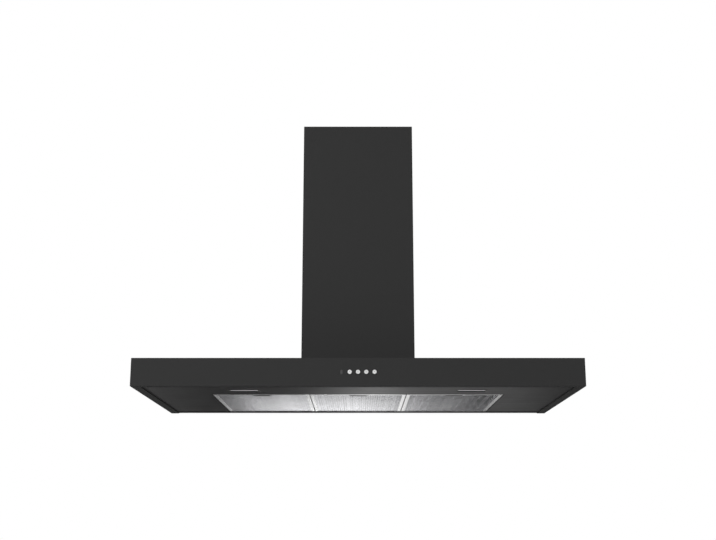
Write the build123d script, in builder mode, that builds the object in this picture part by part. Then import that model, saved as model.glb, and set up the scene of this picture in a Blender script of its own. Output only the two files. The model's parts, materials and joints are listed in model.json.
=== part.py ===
"""Wall-mounted chimney range hood, in millimetres.

The wall is the plane y = 0, the cook stands at -Y, z = 0 is the hood's lower edge
and x = 0 is its middle.
"""
from build123d import *
from math import cos, radians, sin
import os

os.makedirs("parts", exist_ok=True)

# ---------------------------------------------------------------- canopy
canopy_width = 1100
canopy_depth = 500
canopy_height = 70
canopy_sheet = 1.2
canopy_corner = 1.5
side_flange = 23
front_flange = 16
tray_sheet = 1.2
tray_rise = 2
tray_seat_inset = 0.5
tray_lip = 10
lock_hole_spacing = 600
lock_hole_radius = 3.25
lock_hole_height = 40

# ---------------------------------------------------------------- grease filters
filter_sides = ("left", "centre", "right")
filter_pitch = 250
filter_gap = 2
filter_length = 328
filter_thickness = 9
filter_wall_distance = 17
filter_edge_gap = 1
filter_lip = 9
filter_sheet = 1
filter_corner = 2
filter_bend = 0.8
seat_gap = 0.3
net_thickness = 0.8
net_columns = 5
net_rows = 10
net_strand = 4
crimp_sheet = 0.8
crimp_waves = 14
filter_tab_width = 26
filter_tab_reach = 9
filter_tab_spread = 150
ledge_sheet = 1.2

# ---------------------------------------------------------------- filter latches
latch_width = 40
latch_length = 18.7
latch_height = 5.4
latch_travel = 7
latch_play = 0.4
latch_wall = 1.2
latch_window = 9
tongue_width = 20
tongue_thickness = 1.5
cup_width = 18
cup_length = 7.6
cup_depth = 4
cup_corner = 1.5
slot_clearance = 2

# ---------------------------------------------------------------- lamps
lamp_spacing = 570
lamp_width = 78
lamp_length = 36
lamp_to_filter = 48
lamp_rim = 2
lamp_rim_thickness = 0.8
lamp_wall = 1.5
lamp_body_height = 16
lamp_recess = 2
lens_thickness = 2
lamp_fin_count = 7
lamp_fin_height = 5
driver_width = 110
driver_length = 40
driver_height = 22
driver_x = -430
driver_from_filter = 70
driver_corner = 3
driver_edge = 1
clip_width = 12
clip_sheet = 0.8
clip_reach = 9
clip_height = 6
clip_spread = 36

# ---------------------------------------------------------------- controls
control_height = 35
button_names = ("light", "low", "medium", "high")
button_pitch = 20
button_radius = 5.3
button_proud = 3
button_travel = 2.5
button_cap_length = 8
button_stem_radius = 2.4
button_stem_length = 14
button_clearance = 0.25
dimple_radius = 1.6
dimple_depth = 0.6
dimple_taper = 35
button_edge = 0.6
button_bottom_gap = 0.5
pilot_width = 6
pilot_height = 11
pilot_proud = 0.4
pilot_length = 12
pilot_edge = 0.3
switch_block_width = 124
switch_block_height = 26
switch_block_depth = 26
switch_block_corner = 3
board_thickness = 1.6
board_margin = 3

# ---------------------------------------------------------------- chimney
chimney_width = 304
chimney_depth = 272
chimney_height = 708
chimney_sheet = 1
chimney_return = 12
chimney_bend = 2
telescope_gap = 0.8
upper_recess = 1
chimney_tab_width = 60
chimney_tab_depth = 14
tab_hole_inset = 7.7
side_tab_distance = 163
bracket_sheet = 1.5
bracket_height = 30
bracket_below_top = 18
bracket_wing = 30
bracket_screw_inset = 18
bracket_flat = 260
bracket_slot_spacing = 180
bracket_slot_radius = 3
bracket_slot_length = 16
bracket_nut_width = 7
bracket_nut_height = 3

# ---------------------------------------------------------------- blower box
box_width = 240
box_depth = 230
box_sheet = 1
box_foot = 12
foot_screw_from_corner = 40
keyhole_spacing = 190
keyhole_below_top = 34
keyhole_entry_radius = 7
keyhole_neck_radius = 4
keyhole_rise = 12
screw_radius = 2
screw_head_radius = 3.6
screw_head_height = 2.4
screw_hole_radius = 2.2
screw_tail = 3

# ---------------------------------------------------------------- blower
wheel_radius = 65
wheel_bore_radius = 53
wheel_half_width = 62
wheel_ring = 3
wheel_disc = 1.6
blade_count = 36
blade_thickness = 0.9
blade_sweep = 9
blade_camber = 1.6
blade_rim_inset = 0.6
hub_radius = 11
hub_half_length = 12
hub_edge = 2
shaft_radius = 4
shaft_play = 0.05
scroll_wall = 2
scroll_start_radius = 76
scroll_step = 8
scroll_wall_gap = 8
scroll_floor_gap = 24
scroll_side_gap = 4
scroll_neck = 53
tongue_offset = 10
tongue_radius = 5
inlet_radius = 55
mouth_radius = 4
motor_radius = 41
motor_length = 62
motor_start = 16
motor_neck_radius = 30
motor_face_radius = 22
motor_shoulder = 5
motor_slope = 3
bush_radius = 8
bush_length = 6
spider_sheet = 2
spider_hub_radius = 34
spider_arm_width = 16
spider_reach = 66
grommet_radius = 7
spider_bore_play = 2
spider_arms = 3
shaft_stick_out = 6
shaft_edge = 0.5
capacitor_radius = 15
capacitor_length = 62
capacitor_clip = 1.2
capacitor_rise = 40
capacitor_edge = 1.5
clamp_width = 16
clamp_foot = 48

# ---------------------------------------------------------------- duct collar and flaps
collar_radius = 75
collar_wall = 2
collar_height = 55
collar_flange = 5
collar_flange_thickness = 2.5
flap_height = 14
flap_thickness = 1.2
flap_clearance = 1.2
flap_pin_radius = 1.5
flap_play = 0.08
knuckle_radius = 3
knuckle_count = 5
knuckle_gap = 1
flap_root = 4
flap_hem = 1
stop_width = 3
stop_height = 2

# ---------------------------------------------------------------- electronics
electronics_width = 140
electronics_depth = 44
electronics_height = 36
electronics_wall_gap = 6
electronics_wall = 2
lid_thickness = 2
gland_bore_radius = 4.5
gland_body_radius = 8
gland_height = 18
gland_nut_width = 20
gland_nut_height = 5
gland_thread = 1.5
gland_lock_height = 4
gland_x = 45
gland_edge = 1.5

# ---------------------------------------------------------------- places worked out from the sizes
canopy_half = canopy_width / 2
inner_half = canopy_half - canopy_sheet
canopy_top = canopy_height
tray_bottom = canopy_sheet + tray_rise
tray_top = tray_bottom + tray_sheet
tray_step = canopy_half - side_flange + tray_seat_inset
tray_front_step = canopy_depth - front_flange + tray_seat_inset
filter_rear = -filter_wall_distance
filter_front = filter_rear - filter_length
filter_bottom = tray_bottom + seat_gap
filter_top = filter_bottom + filter_thickness
latch_bottom = filter_bottom + filter_sheet + seat_gap
filter_width = filter_pitch - filter_gap
filter_places = [(i - (len(filter_sides) - 1) / 2) * filter_pitch for i in range(len(filter_sides))]
mouth_half = len(filter_sides) * filter_pitch / 2 + filter_edge_gap
mouth_front = filter_front - filter_edge_gap
ledge_depth = filter_wall_distance - filter_edge_gap
lamp_y = filter_front - lamp_to_filter - lamp_length / 2
airway_width = box_width - 2 * (box_sheet + box_foot)
airway_depth = box_depth - 2 * (box_sheet + box_foot)

scroll_back = scroll_wall_gap + box_sheet + scroll_wall
wheel_u = scroll_back + scroll_start_radius + scroll_step / 2
wheel_v = canopy_top + scroll_floor_gap + scroll_wall + scroll_start_radius + scroll_step * 1.5
neck_back = wheel_u - scroll_step / 2 + tongue_offset
neck_front = wheel_u + scroll_step / 2 + scroll_start_radius + 2 * scroll_step
box_top = wheel_v - scroll_step / 2 + scroll_start_radius + scroll_neck
scroll_half = wheel_half_width + scroll_side_gap
collar_u = (neck_back + neck_front) / 2
collar_base = box_top
flap_z = collar_base + flap_height
chimney_top = canopy_top + chimney_height
upper_half = chimney_width / 2 - chimney_sheet - telescope_gap
upper_front = chimney_depth - chimney_sheet - telescope_gap
upper_bottom = canopy_top + chimney_sheet + seat_gap


def side_plane(x=0):
    """The plane across the hood at x: first the distance from the wall, then the height.

    Its normal points to -X.
    """
    return Plane(origin=(x, 0, 0), x_dir=(0, -1, 0), z_dir=(-1, 0, 0))


def front_plane(distance):
    """The plane parallel to the wall at a distance from it: first x, then the height.

    Its normal points to the cook.
    """
    return Plane.XZ.offset(distance)


def save(part, name):
    """Label one finished piece and write it under its own name."""
    part.label = name
    export_step(part, f"parts/{name}.step")


# ================================================================ canopy
# The pilot lens and the buttons stand at one pitch, the row centred on the hood.
button_places = [(button_pitch * (i - 1), control_height) for i in range(len(button_names))]
pilot_place = (-2 * button_pitch, control_height)
chimney_tab_places = [
    (0, -(chimney_depth - chimney_sheet - tab_hole_inset)),
    (-(chimney_width / 2 - chimney_sheet - tab_hole_inset), -side_tab_distance),
    (chimney_width / 2 - chimney_sheet - tab_hole_inset, -side_tab_distance),
]
foot_inset = box_sheet + box_foot / 2
foot_screw_places = [
    (side * (box_width / 2 - foot_inset), -box_depth / 2 + along * (box_depth / 2 - foot_screw_from_corner))
    for side in (-1, 1)
    for along in (-1, 0, 1)
]

with BuildPart() as canopy_shell:
    with BuildSketch(Plane.XY):
        Rectangle(canopy_width, canopy_depth, align=(Align.CENTER, Align.MAX))
    extrude(amount=canopy_height)
    upright = canopy_shell.edges().filter_by(Axis.Z).group_by(Axis.Y)[0]
    fillet(upright, canopy_corner)
    rims = canopy_shell.faces().filter_by(Axis.Z).edges().filter_by(
        lambda edge: edge.center().Y < -canopy_corner
    )
    fillet(rims, canopy_corner)
    with BuildSketch(Plane.XY.offset(canopy_sheet)):
        Rectangle(2 * inner_half, canopy_depth - canopy_sheet, align=(Align.CENTER, Align.MAX))
    extrude(amount=canopy_height - 2 * canopy_sheet, mode=Mode.SUBTRACT)
    with BuildSketch(Plane.XY):
        Rectangle(
            canopy_width - 2 * side_flange,
            canopy_depth - front_flange,
            align=(Align.CENTER, Align.MAX),
        )
    extrude(amount=canopy_sheet, mode=Mode.SUBTRACT)
    with BuildSketch(Plane.XY.offset(canopy_top)):
        with Locations((0, -box_depth / 2)):
            Rectangle(airway_width, airway_depth)
        with Locations(*chimney_tab_places, *foot_screw_places):
            Circle(screw_hole_radius)
    extrude(amount=-canopy_sheet, mode=Mode.SUBTRACT)
    with BuildSketch(front_plane(canopy_depth)):
        with Locations(*button_places):
            Circle(button_radius + button_clearance)
        with Locations(pilot_place):
            SlotOverall(pilot_height + button_clearance, pilot_width + button_clearance, rotation=90)
    extrude(amount=-canopy_sheet, mode=Mode.SUBTRACT)
save(canopy_shell.part, "canopy_shell")

with BuildPart() as canopy_back:
    with BuildSketch(front_plane(0)):
        with Locations((0, canopy_sheet)):
            Rectangle(
                2 * inner_half, canopy_height - 2 * canopy_sheet, align=(Align.CENTER, Align.MIN)
            )
        with GridLocations(lock_hole_spacing, 1, 2, 1):
            with Locations((0, lock_hole_height)):
                Circle(lock_hole_radius, mode=Mode.SUBTRACT)
    extrude(amount=canopy_sheet)
save(canopy_back.part, "canopy_back")

# The filters' rear tabs stand on this strip, which lies under the side panels' rear edges.
with BuildPart() as filter_ledge:
    with BuildSketch(Plane.XY.offset(tray_bottom)):
        with Locations((0, -canopy_sheet)):
            Rectangle(2 * tray_step, ledge_depth - canopy_sheet, align=(Align.CENTER, Align.MAX))
    extrude(amount=-ledge_sheet)
save(filter_ledge.part, "filter_ledge")

# The lamps' panel lies in front of the filters and an infill panel at each side of them.
# Each rests on the canopy's flange by a narrow seat and steps up from it.
with BuildPart() as underside_tray:
    with BuildSketch(Plane.XY.offset(canopy_sheet)):
        with Locations((0, mouth_front)):
            Rectangle(
                2 * (tray_step + tray_sheet),
                tray_front_step + tray_sheet + mouth_front,
                align=(Align.CENTER, Align.MAX),
            )
    extrude(amount=tray_top - canopy_sheet)
    with BuildSketch(Plane.XY.offset(canopy_sheet)):
        with Locations((0, mouth_front)):
            Rectangle(
                2 * inner_half,
                canopy_depth - canopy_sheet + mouth_front,
                align=(Align.CENTER, Align.MAX),
            )
    extrude(amount=tray_sheet)
    with BuildSketch(Plane.XY.offset(tray_bottom)):
        with Locations((0, mouth_front)):
            Rectangle(2 * tray_step, tray_front_step + mouth_front, align=(Align.CENTER, Align.MAX))
    extrude(amount=-tray_rise, mode=Mode.SUBTRACT)
    with BuildSketch(Plane.XY.offset(tray_top)):
        with Locations((-lamp_spacing / 2, lamp_y), (lamp_spacing / 2, lamp_y)):
            Rectangle(lamp_width - 2 * lamp_rim, lamp_length - 2 * lamp_rim)
    extrude(amount=-tray_sheet, mode=Mode.SUBTRACT)
    with BuildSketch(Plane.XY.offset(tray_top)):
        with Locations((0, mouth_front)):
            Rectangle(2 * mouth_half, tray_sheet, align=(Align.CENTER, Align.MAX))
    extrude(amount=tray_lip)
    with BuildSketch(front_plane(-mouth_front)):
        with Locations(*[(x, tray_top) for x in filter_places]):
            Rectangle(
                tongue_width + 2 * slot_clearance,
                tongue_thickness + slot_clearance,
                align=(Align.CENTER, Align.MIN),
            )
    extrude(amount=tray_sheet, mode=Mode.SUBTRACT)
save(underside_tray.part, "underside_tray")

for side, sign in (("left", -1), ("right", 1)):
    with BuildPart() as tray_side:
        with BuildSketch(front_plane(canopy_sheet)):
            with BuildLine():
                Polyline(
                    (sign * inner_half, canopy_sheet),
                    (sign * tray_step, canopy_sheet),
                    (sign * tray_step, tray_bottom),
                    (sign * mouth_half, tray_bottom),
                    (sign * mouth_half, tray_top + tray_lip),
                    (sign * (mouth_half + tray_sheet), tray_top + tray_lip),
                    (sign * (mouth_half + tray_sheet), tray_top),
                    (sign * (tray_step + tray_sheet), tray_top),
                    (sign * (tray_step + tray_sheet), canopy_sheet + tray_sheet),
                    (sign * inner_half, canopy_sheet + tray_sheet),
                    close=True,
                )
            make_face()
        extrude(amount=-mouth_front - canopy_sheet)
    save(tray_side.part, f"tray_side_{side}")

# ================================================================ lamps and their driver
for side, lamp_x in (("left", -lamp_spacing / 2), ("right", lamp_spacing / 2)):
    window_width = lamp_width - 2 * lamp_rim - 2 * seat_gap
    window_length = lamp_length - 2 * lamp_rim - 2 * seat_gap
    with BuildPart() as lamp_housing:
        with BuildSketch(Plane.XY.offset(tray_bottom)):
            with Locations((lamp_x, lamp_y)):
                Rectangle(lamp_width, lamp_length)
        extrude(amount=-lamp_rim_thickness)
        chamfer(lamp_housing.faces().sort_by(Axis.Z)[0].edges(), lamp_rim_thickness / 2)
        with BuildSketch(Plane.XY.offset(tray_bottom)):
            with Locations((lamp_x, lamp_y)):
                Rectangle(window_width, window_length)
        extrude(amount=lamp_body_height)
        with BuildSketch(Plane.XY.offset(tray_bottom - lamp_rim_thickness)):
            with Locations((lamp_x, lamp_y)):
                Rectangle(window_width - 2 * lamp_wall, window_length - 2 * lamp_wall)
        extrude(amount=lamp_rim_thickness + lamp_recess + lens_thickness, mode=Mode.SUBTRACT)
        fin_pitch = window_width / lamp_fin_count
        with BuildSketch(Plane.XY.offset(tray_bottom + lamp_body_height)):
            with Locations((lamp_x, lamp_y)):
                with GridLocations(fin_pitch, 1, lamp_fin_count - 1, 1):
                    Rectangle(fin_pitch / 2, window_length)
        extrude(amount=-lamp_fin_height, mode=Mode.SUBTRACT)
    save(lamp_housing.part, f"lamp_housing_{side}")

    with BuildPart() as lamp_lens:
        with BuildSketch(Plane.XY.offset(tray_bottom + lamp_recess)):
            with Locations((lamp_x, lamp_y)):
                Rectangle(window_width - 2 * lamp_wall, window_length - 2 * lamp_wall)
        extrude(amount=lens_thickness)
    save(lamp_lens.part, f"lamp_lens_{side}")

# Two spring clips on each lamp's long sides press it up against the tray.
with BuildPart() as lamp_clips:
    for lamp_x in (-lamp_spacing / 2, lamp_spacing / 2):
        for sign in (-1, 1):
            clip_face = lamp_y + sign * (lamp_length / 2 - lamp_rim - seat_gap)
            for clip_x in (lamp_x - clip_spread / 2, lamp_x + clip_spread / 2):
                with BuildSketch(side_plane(clip_x + clip_width / 2)):
                    with BuildLine():
                        Polyline(
                            (-clip_face, tray_top),
                            (-clip_face, tray_top + clip_height),
                            (-clip_face - sign * clip_sheet, tray_top + clip_height),
                            (-clip_face - sign * clip_sheet, tray_top + clip_sheet),
                            (-clip_face - sign * clip_reach, tray_top + clip_sheet),
                            (-clip_face - sign * clip_reach, tray_top),
                            close=True,
                        )
                    make_face()
                extrude(amount=clip_width)
save(lamp_clips.part, "lamp_clips")

driver_y = filter_front - driver_from_filter
with BuildPart() as led_driver:
    with BuildSketch(Plane.XY.offset(tray_top)):
        with Locations((driver_x, driver_y)):
            RectangleRounded(driver_width, driver_length, driver_corner)
    extrude(amount=driver_height)
    chamfer(led_driver.faces().sort_by(Axis.Z)[-1].edges(), driver_edge)
save(led_driver.part, "led_driver")

# ================================================================ switch block and buttons
block_front = canopy_depth - canopy_sheet
cap_pocket = button_cap_length - button_proud - canopy_sheet + button_travel + button_bottom_gap
block_place = (0, control_height)
with BuildPart() as switch_block:
    with BuildSketch(front_plane(block_front)):
        with Locations(block_place):
            RectangleRounded(switch_block_width, switch_block_height, switch_block_corner)
    extrude(amount=-switch_block_depth)
    with BuildSketch(front_plane(block_front)):
        with Locations(*button_places):
            Circle(button_radius + button_clearance)
    extrude(amount=-cap_pocket, mode=Mode.SUBTRACT)
    with BuildSketch(front_plane(block_front)):
        with Locations(*button_places):
            Circle(button_stem_radius + button_clearance)
    extrude(amount=-(button_stem_length + button_cap_length), mode=Mode.SUBTRACT)
    with BuildSketch(front_plane(block_front)):
        with Locations(pilot_place):
            SlotOverall(pilot_height + button_clearance, pilot_width + button_clearance, rotation=90)
    extrude(amount=-(pilot_length - canopy_sheet - pilot_proud), mode=Mode.SUBTRACT)
save(switch_block.part, "switch_block")

with BuildPart() as switch_board:
    with BuildSketch(front_plane(block_front - switch_block_depth)):
        with Locations(block_place):
            Rectangle(switch_block_width - 2 * board_margin, switch_block_height - 2 * board_margin)
    extrude(amount=-board_thickness)
save(switch_board.part, "switch_board")

with BuildPart() as pilot_lens:
    with BuildSketch(front_plane(canopy_depth + pilot_proud)):
        with Locations(pilot_place):
            SlotOverall(pilot_height, pilot_width, rotation=90)
    extrude(amount=-pilot_length)
    chamfer(pilot_lens.faces().sort_by(Axis.Y)[0].edges(), pilot_edge)
save(pilot_lens.part, "pilot_lens")

for button_name, button_place in zip(button_names, button_places):
    with BuildPart() as button:
        with BuildSketch(front_plane(canopy_depth + button_proud)):
            with Locations(button_place):
                Circle(button_radius)
        extrude(amount=-button_cap_length)
        chamfer(button.faces().sort_by(Axis.Y)[0].edges(), button_edge)
        with BuildSketch(front_plane(canopy_depth + button_proud)):
            with Locations(button_place):
                Circle(dimple_radius)
        extrude(amount=-dimple_depth, taper=dimple_taper, mode=Mode.SUBTRACT)
        with BuildSketch(front_plane(canopy_depth + button_proud - button_cap_length)):
            with Locations(button_place):
                Circle(button_stem_radius)
        extrude(amount=-button_stem_length)
    save(button.part, f"button_{button_name}")

# ================================================================ grease filters
latch_top = latch_bottom + latch_height
housing_half = latch_width / 2 + latch_play + latch_wall
latch_front_u = -filter_front - filter_sheet - seat_gap
latch_rear_u = latch_front_u - latch_length
housing_rear_u = latch_rear_u - latch_travel - latch_play - latch_wall
window_front_u = -filter_front - filter_lip
window_rear_u = window_front_u - latch_window
housing_front_u = -filter_front - filter_sheet
net_floor = filter_bottom + filter_sheet
inside_width = filter_width - 2 * (filter_sheet + seat_gap)
inside_length = filter_length - 2 * (filter_sheet + seat_gap)
filter_middle = (filter_front + filter_rear) / 2
cell_width = (inside_width - 2 * filter_lip) / net_columns
cell_length = (inside_length - 2 * filter_lip) / net_rows
housing_reach = -filter_front - housing_rear_u
crimp_floor = net_floor + net_thickness + seat_gap
crimp_rise = filter_top - filter_sheet - seat_gap - crimp_sheet - crimp_floor
crimp_pitch = inside_width / (2 * crimp_waves)
crimp_low = [(i * crimp_pitch - inside_width / 2, crimp_rise * (i % 2)) for i in range(2 * crimp_waves + 1)]
crimp_high = [(x, z + crimp_sheet) for x, z in crimp_low]
diamond = [
    (net_strand - cell_width / 2, 0),
    (0, cell_length / 2 - net_strand / 2),
    (cell_width / 2 - net_strand, 0),
    (0, net_strand / 2 - cell_length / 2),
]

for side, filter_x in zip(filter_sides, filter_places):
    with BuildPart() as filter_frame:
        with BuildSketch(Plane.XY.offset(filter_bottom)):
            with Locations((filter_x, filter_middle)):
                Rectangle(filter_width, filter_length)
                Rectangle(
                    filter_width - 2 * filter_lip, filter_length - 2 * filter_lip, mode=Mode.SUBTRACT
                )
        extrude(amount=filter_thickness)
        outer = filter_frame.edges().filter_by(Axis.Z).filter_by(
            lambda edge: abs(edge.center().X - filter_x) > filter_width / 2 - filter_sheet
        )
        fillet(outer, filter_corner)
        fillet(filter_frame.faces().sort_by(Axis.Z)[0].outer_wire().edges(), filter_bend)
        with BuildSketch(Plane.XY.offset(net_floor)):
            with Locations((filter_x, filter_middle)):
                Rectangle(filter_width - 2 * filter_sheet, filter_length - 2 * filter_sheet)
        extrude(amount=filter_thickness - 2 * filter_sheet, mode=Mode.SUBTRACT)
        with BuildSketch(front_plane(-filter_front)):
            with Locations((filter_x, net_floor)):
                Rectangle(
                    tongue_width + slot_clearance,
                    tongue_thickness + slot_clearance / 2,
                    align=(Align.CENTER, Align.MIN),
                )
        extrude(amount=-filter_sheet, mode=Mode.SUBTRACT)
        with BuildSketch(Plane.XY.offset(filter_bottom)):
            with Locations((filter_x, filter_rear)):
                with GridLocations(filter_tab_spread, 1, 2, 1):
                    Rectangle(filter_tab_width, filter_tab_reach, align=(Align.CENTER, Align.MIN))
        extrude(amount=filter_sheet)
    save(filter_frame.part, f"filter_frame_{side}")

    with BuildPart() as filter_mesh:
        with BuildSketch(Plane.XY.offset(net_floor)):
            with Locations((filter_x, filter_middle)):
                Rectangle(inside_width, inside_length)
                with GridLocations(cell_width, cell_length, net_columns, net_rows):
                    Polygon(*diamond, align=None, mode=Mode.SUBTRACT)
                with GridLocations(cell_width, cell_length, net_columns - 1, net_rows - 1):
                    Polygon(*diamond, align=None, mode=Mode.SUBTRACT)
            with Locations((filter_x, filter_front)):
                Rectangle(
                    2 * (housing_half + seat_gap),
                    housing_reach + seat_gap,
                    align=(Align.CENTER, Align.MIN),
                    mode=Mode.SUBTRACT,
                )
        extrude(amount=net_thickness)
        with BuildSketch(front_plane(inside_length / 2 - filter_middle)):
            with Locations((filter_x, crimp_floor)):
                Polygon(*crimp_low, *reversed(crimp_high), align=None)
        extrude(amount=-inside_length)
        with BuildSketch(Plane.XY.offset(crimp_floor)):
            with Locations((filter_x, filter_front)):
                Rectangle(
                    2 * (housing_half + seat_gap),
                    housing_reach + seat_gap,
                    align=(Align.CENTER, Align.MIN),
                )
        extrude(amount=filter_thickness, mode=Mode.SUBTRACT)
    save(filter_mesh.part, f"filter_mesh_{side}")

    with BuildPart() as latch_housing:
        with BuildSketch(side_plane(filter_x + housing_half)):
            with BuildLine():
                Polyline(
                    (housing_front_u, net_floor),
                    (housing_front_u, filter_top - filter_sheet),
                    (housing_rear_u, filter_top - filter_sheet),
                    (housing_rear_u, filter_bottom),
                    (window_rear_u, filter_bottom),
                    (window_rear_u, net_floor),
                    close=True,
                )
            make_face()
        extrude(amount=2 * housing_half)
        with BuildSketch(side_plane(filter_x + housing_half - latch_wall)):
            with Locations((housing_rear_u + latch_wall, net_floor)):
                Rectangle(
                    housing_front_u - housing_rear_u - latch_wall,
                    latch_height + 2 * seat_gap,
                    align=(Align.MIN, Align.MIN),
                )
        extrude(amount=2 * (housing_half - latch_wall), mode=Mode.SUBTRACT)
    save(latch_housing.part, f"latch_housing_{side}")

    with BuildPart() as latch_handle:
        with BuildSketch(Plane.XY.offset(latch_bottom)):
            with Locations((filter_x, -latch_rear_u)):
                Rectangle(latch_width, latch_length, align=(Align.CENTER, Align.MAX))
        extrude(amount=latch_height)
        with BuildSketch(Plane.XY.offset(latch_bottom)):
            with Locations((filter_x, -latch_front_u)):
                Rectangle(
                    tongue_width,
                    filter_sheet + seat_gap + latch_travel,
                    align=(Align.CENTER, Align.MAX),
                )
        extrude(amount=tongue_thickness)
        with BuildSketch(Plane.XY.offset(latch_bottom)):
            with Locations((filter_x, -(window_front_u + window_rear_u) / 2)):
                RectangleRounded(cup_width, cup_length, cup_corner)
        extrude(amount=cup_depth, mode=Mode.SUBTRACT)
    save(latch_handle.part, f"latch_handle_{side}")

# ================================================================ blower box
keyhole_z = box_top - keyhole_below_top
plate_inset = box_sheet + box_foot / 2
plate_screw_places = [
    (side * (box_width / 2 - plate_inset), -box_depth / 2 + end * (box_depth / 2 - plate_inset))
    for side in (-1, 1)
    for end in (-1, 1)
]
with BuildPart() as blower_box:
    with BuildSketch(Plane.XY.offset(canopy_top)):
        with Locations((0, -box_depth / 2)):
            Rectangle(box_width, box_depth)
            Rectangle(box_width - 2 * box_sheet, box_depth - 2 * box_sheet, mode=Mode.SUBTRACT)
    extrude(amount=box_top - canopy_top - box_sheet)
    with BuildSketch(Plane.XY.offset(canopy_top)):
        with Locations((0, -box_depth / 2)):
            Rectangle(box_width, box_depth)
            Rectangle(airway_width, airway_depth, mode=Mode.SUBTRACT)
        with Locations(*foot_screw_places):
            Circle(screw_hole_radius, mode=Mode.SUBTRACT)
    extrude(amount=box_sheet)
    with BuildSketch(Plane.XY.offset(box_top - box_sheet)):
        with Locations((0, -box_depth / 2)):
            Rectangle(box_width, box_depth)
            Rectangle(airway_width, airway_depth, mode=Mode.SUBTRACT)
        with Locations(*plate_screw_places):
            Circle(screw_hole_radius, mode=Mode.SUBTRACT)
    extrude(amount=-box_sheet)
    with BuildSketch(front_plane(0)):
        with Locations(*[(side * keyhole_spacing / 2, keyhole_z) for side in (-1, 1)]):
            Circle(keyhole_entry_radius)
            Rectangle(2 * keyhole_neck_radius, keyhole_rise, align=(Align.CENTER, Align.MIN))
        with Locations(*[(side * keyhole_spacing / 2, keyhole_z + keyhole_rise) for side in (-1, 1)]):
            Circle(keyhole_neck_radius)
    extrude(amount=box_sheet, mode=Mode.SUBTRACT)
save(blower_box.part, "blower_box")

with BuildPart() as outlet_plate:
    with BuildSketch(Plane.XY.offset(box_top - box_sheet)):
        with Locations((0, -box_depth / 2)):
            Rectangle(box_width, box_depth)
        with Locations((0, -collar_u)):
            Circle(collar_radius - collar_wall, mode=Mode.SUBTRACT)
        with Locations(*plate_screw_places):
            Circle(screw_hole_radius, mode=Mode.SUBTRACT)
    extrude(amount=box_sheet)
save(outlet_plate.part, "outlet_plate")

with BuildPart() as foot_screws:
    with BuildSketch(Plane.XY.offset(canopy_top - canopy_sheet)):
        with Locations(*foot_screw_places, *chimney_tab_places):
            Circle(screw_head_radius)
    extrude(amount=-screw_head_height)
    with BuildSketch(Plane.XY.offset(canopy_top - canopy_sheet)):
        with Locations(*foot_screw_places, *chimney_tab_places):
            Circle(screw_radius)
    extrude(amount=canopy_sheet + box_sheet + screw_tail)
save(foot_screws.part, "foot_screws")

# ================================================================ scroll casing
def scroll_profile(grow):
    """Return the casing's side profile, grown outwards by a wall.

    Three quarter arcs widen from the wall side, under the wheel, to the front. There the
    outline runs up to the outlet, and a rounded tongue closes it beside the wheel.
    """
    radii = [scroll_start_radius + scroll_step * i + grow for i in range(3)]
    centre_u = wheel_u - scroll_step / 2
    centre_v = wheel_v - scroll_step / 2
    roof = centre_v + scroll_start_radius
    top = box_top - box_sheet
    with BuildSketch() as profile:
        with BuildLine():
            wall_side = CenterArc((centre_u, centre_v), radii[0], 90, 90)
            CenterArc((centre_u + scroll_step, centre_v), radii[1], 180, 90)
            front_side = CenterArc((centre_u + scroll_step, centre_v + scroll_step), radii[2], 270, 90)
            Polyline(
                front_side @ 1,
                (neck_front + grow, top),
                (neck_back - grow, top),
                (neck_back - grow, roof + tongue_radius),
            )
            tongue_centre = (neck_back - tongue_radius, roof + tongue_radius)
            tongue = CenterArc(tongue_centre, tongue_radius - grow, 0, -90)
            Line(tongue @ 1, wall_side @ 0)
        make_face()
    return profile.sketch


scroll_outside = scroll_profile(scroll_wall)
scroll_inside = scroll_profile(0)
for side, sign in (("left", -1), ("right", 1)):
    with BuildPart() as scroll_half_shell:
        with BuildSketch(side_plane(0)):
            add(scroll_outside)
        extrude(amount=-sign * (scroll_half + scroll_wall))
        with BuildSketch(side_plane(0)):
            add(scroll_inside)
        extrude(amount=-sign * scroll_half, mode=Mode.SUBTRACT)
        with BuildSketch(side_plane(sign * (scroll_half + scroll_wall))):
            with Locations((wheel_u, wheel_v)):
                Circle(inlet_radius + scroll_wall)
        extrude(amount=-sign * mouth_radius)
        with BuildSketch(side_plane(sign * scroll_half)):
            with Locations((wheel_u, wheel_v)):
                Circle(inlet_radius)
        extrude(amount=-sign * (scroll_wall + mouth_radius), mode=Mode.SUBTRACT)
    save(scroll_half_shell.part, f"scroll_{side}")

# ================================================================ wheel, motor and bracket
with BuildSketch() as blade:
    with BuildLine():
        root = (wheel_bore_radius + blade_rim_inset, 0)
        tip_reach = wheel_radius - blade_rim_inset
        tip = (tip_reach * cos(radians(blade_sweep)), tip_reach * sin(radians(blade_sweep)))
        face = SagittaArc(root, tip, blade_camber)
        offset(amount=blade_thickness, side=Side.LEFT)
    make_face()

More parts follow.
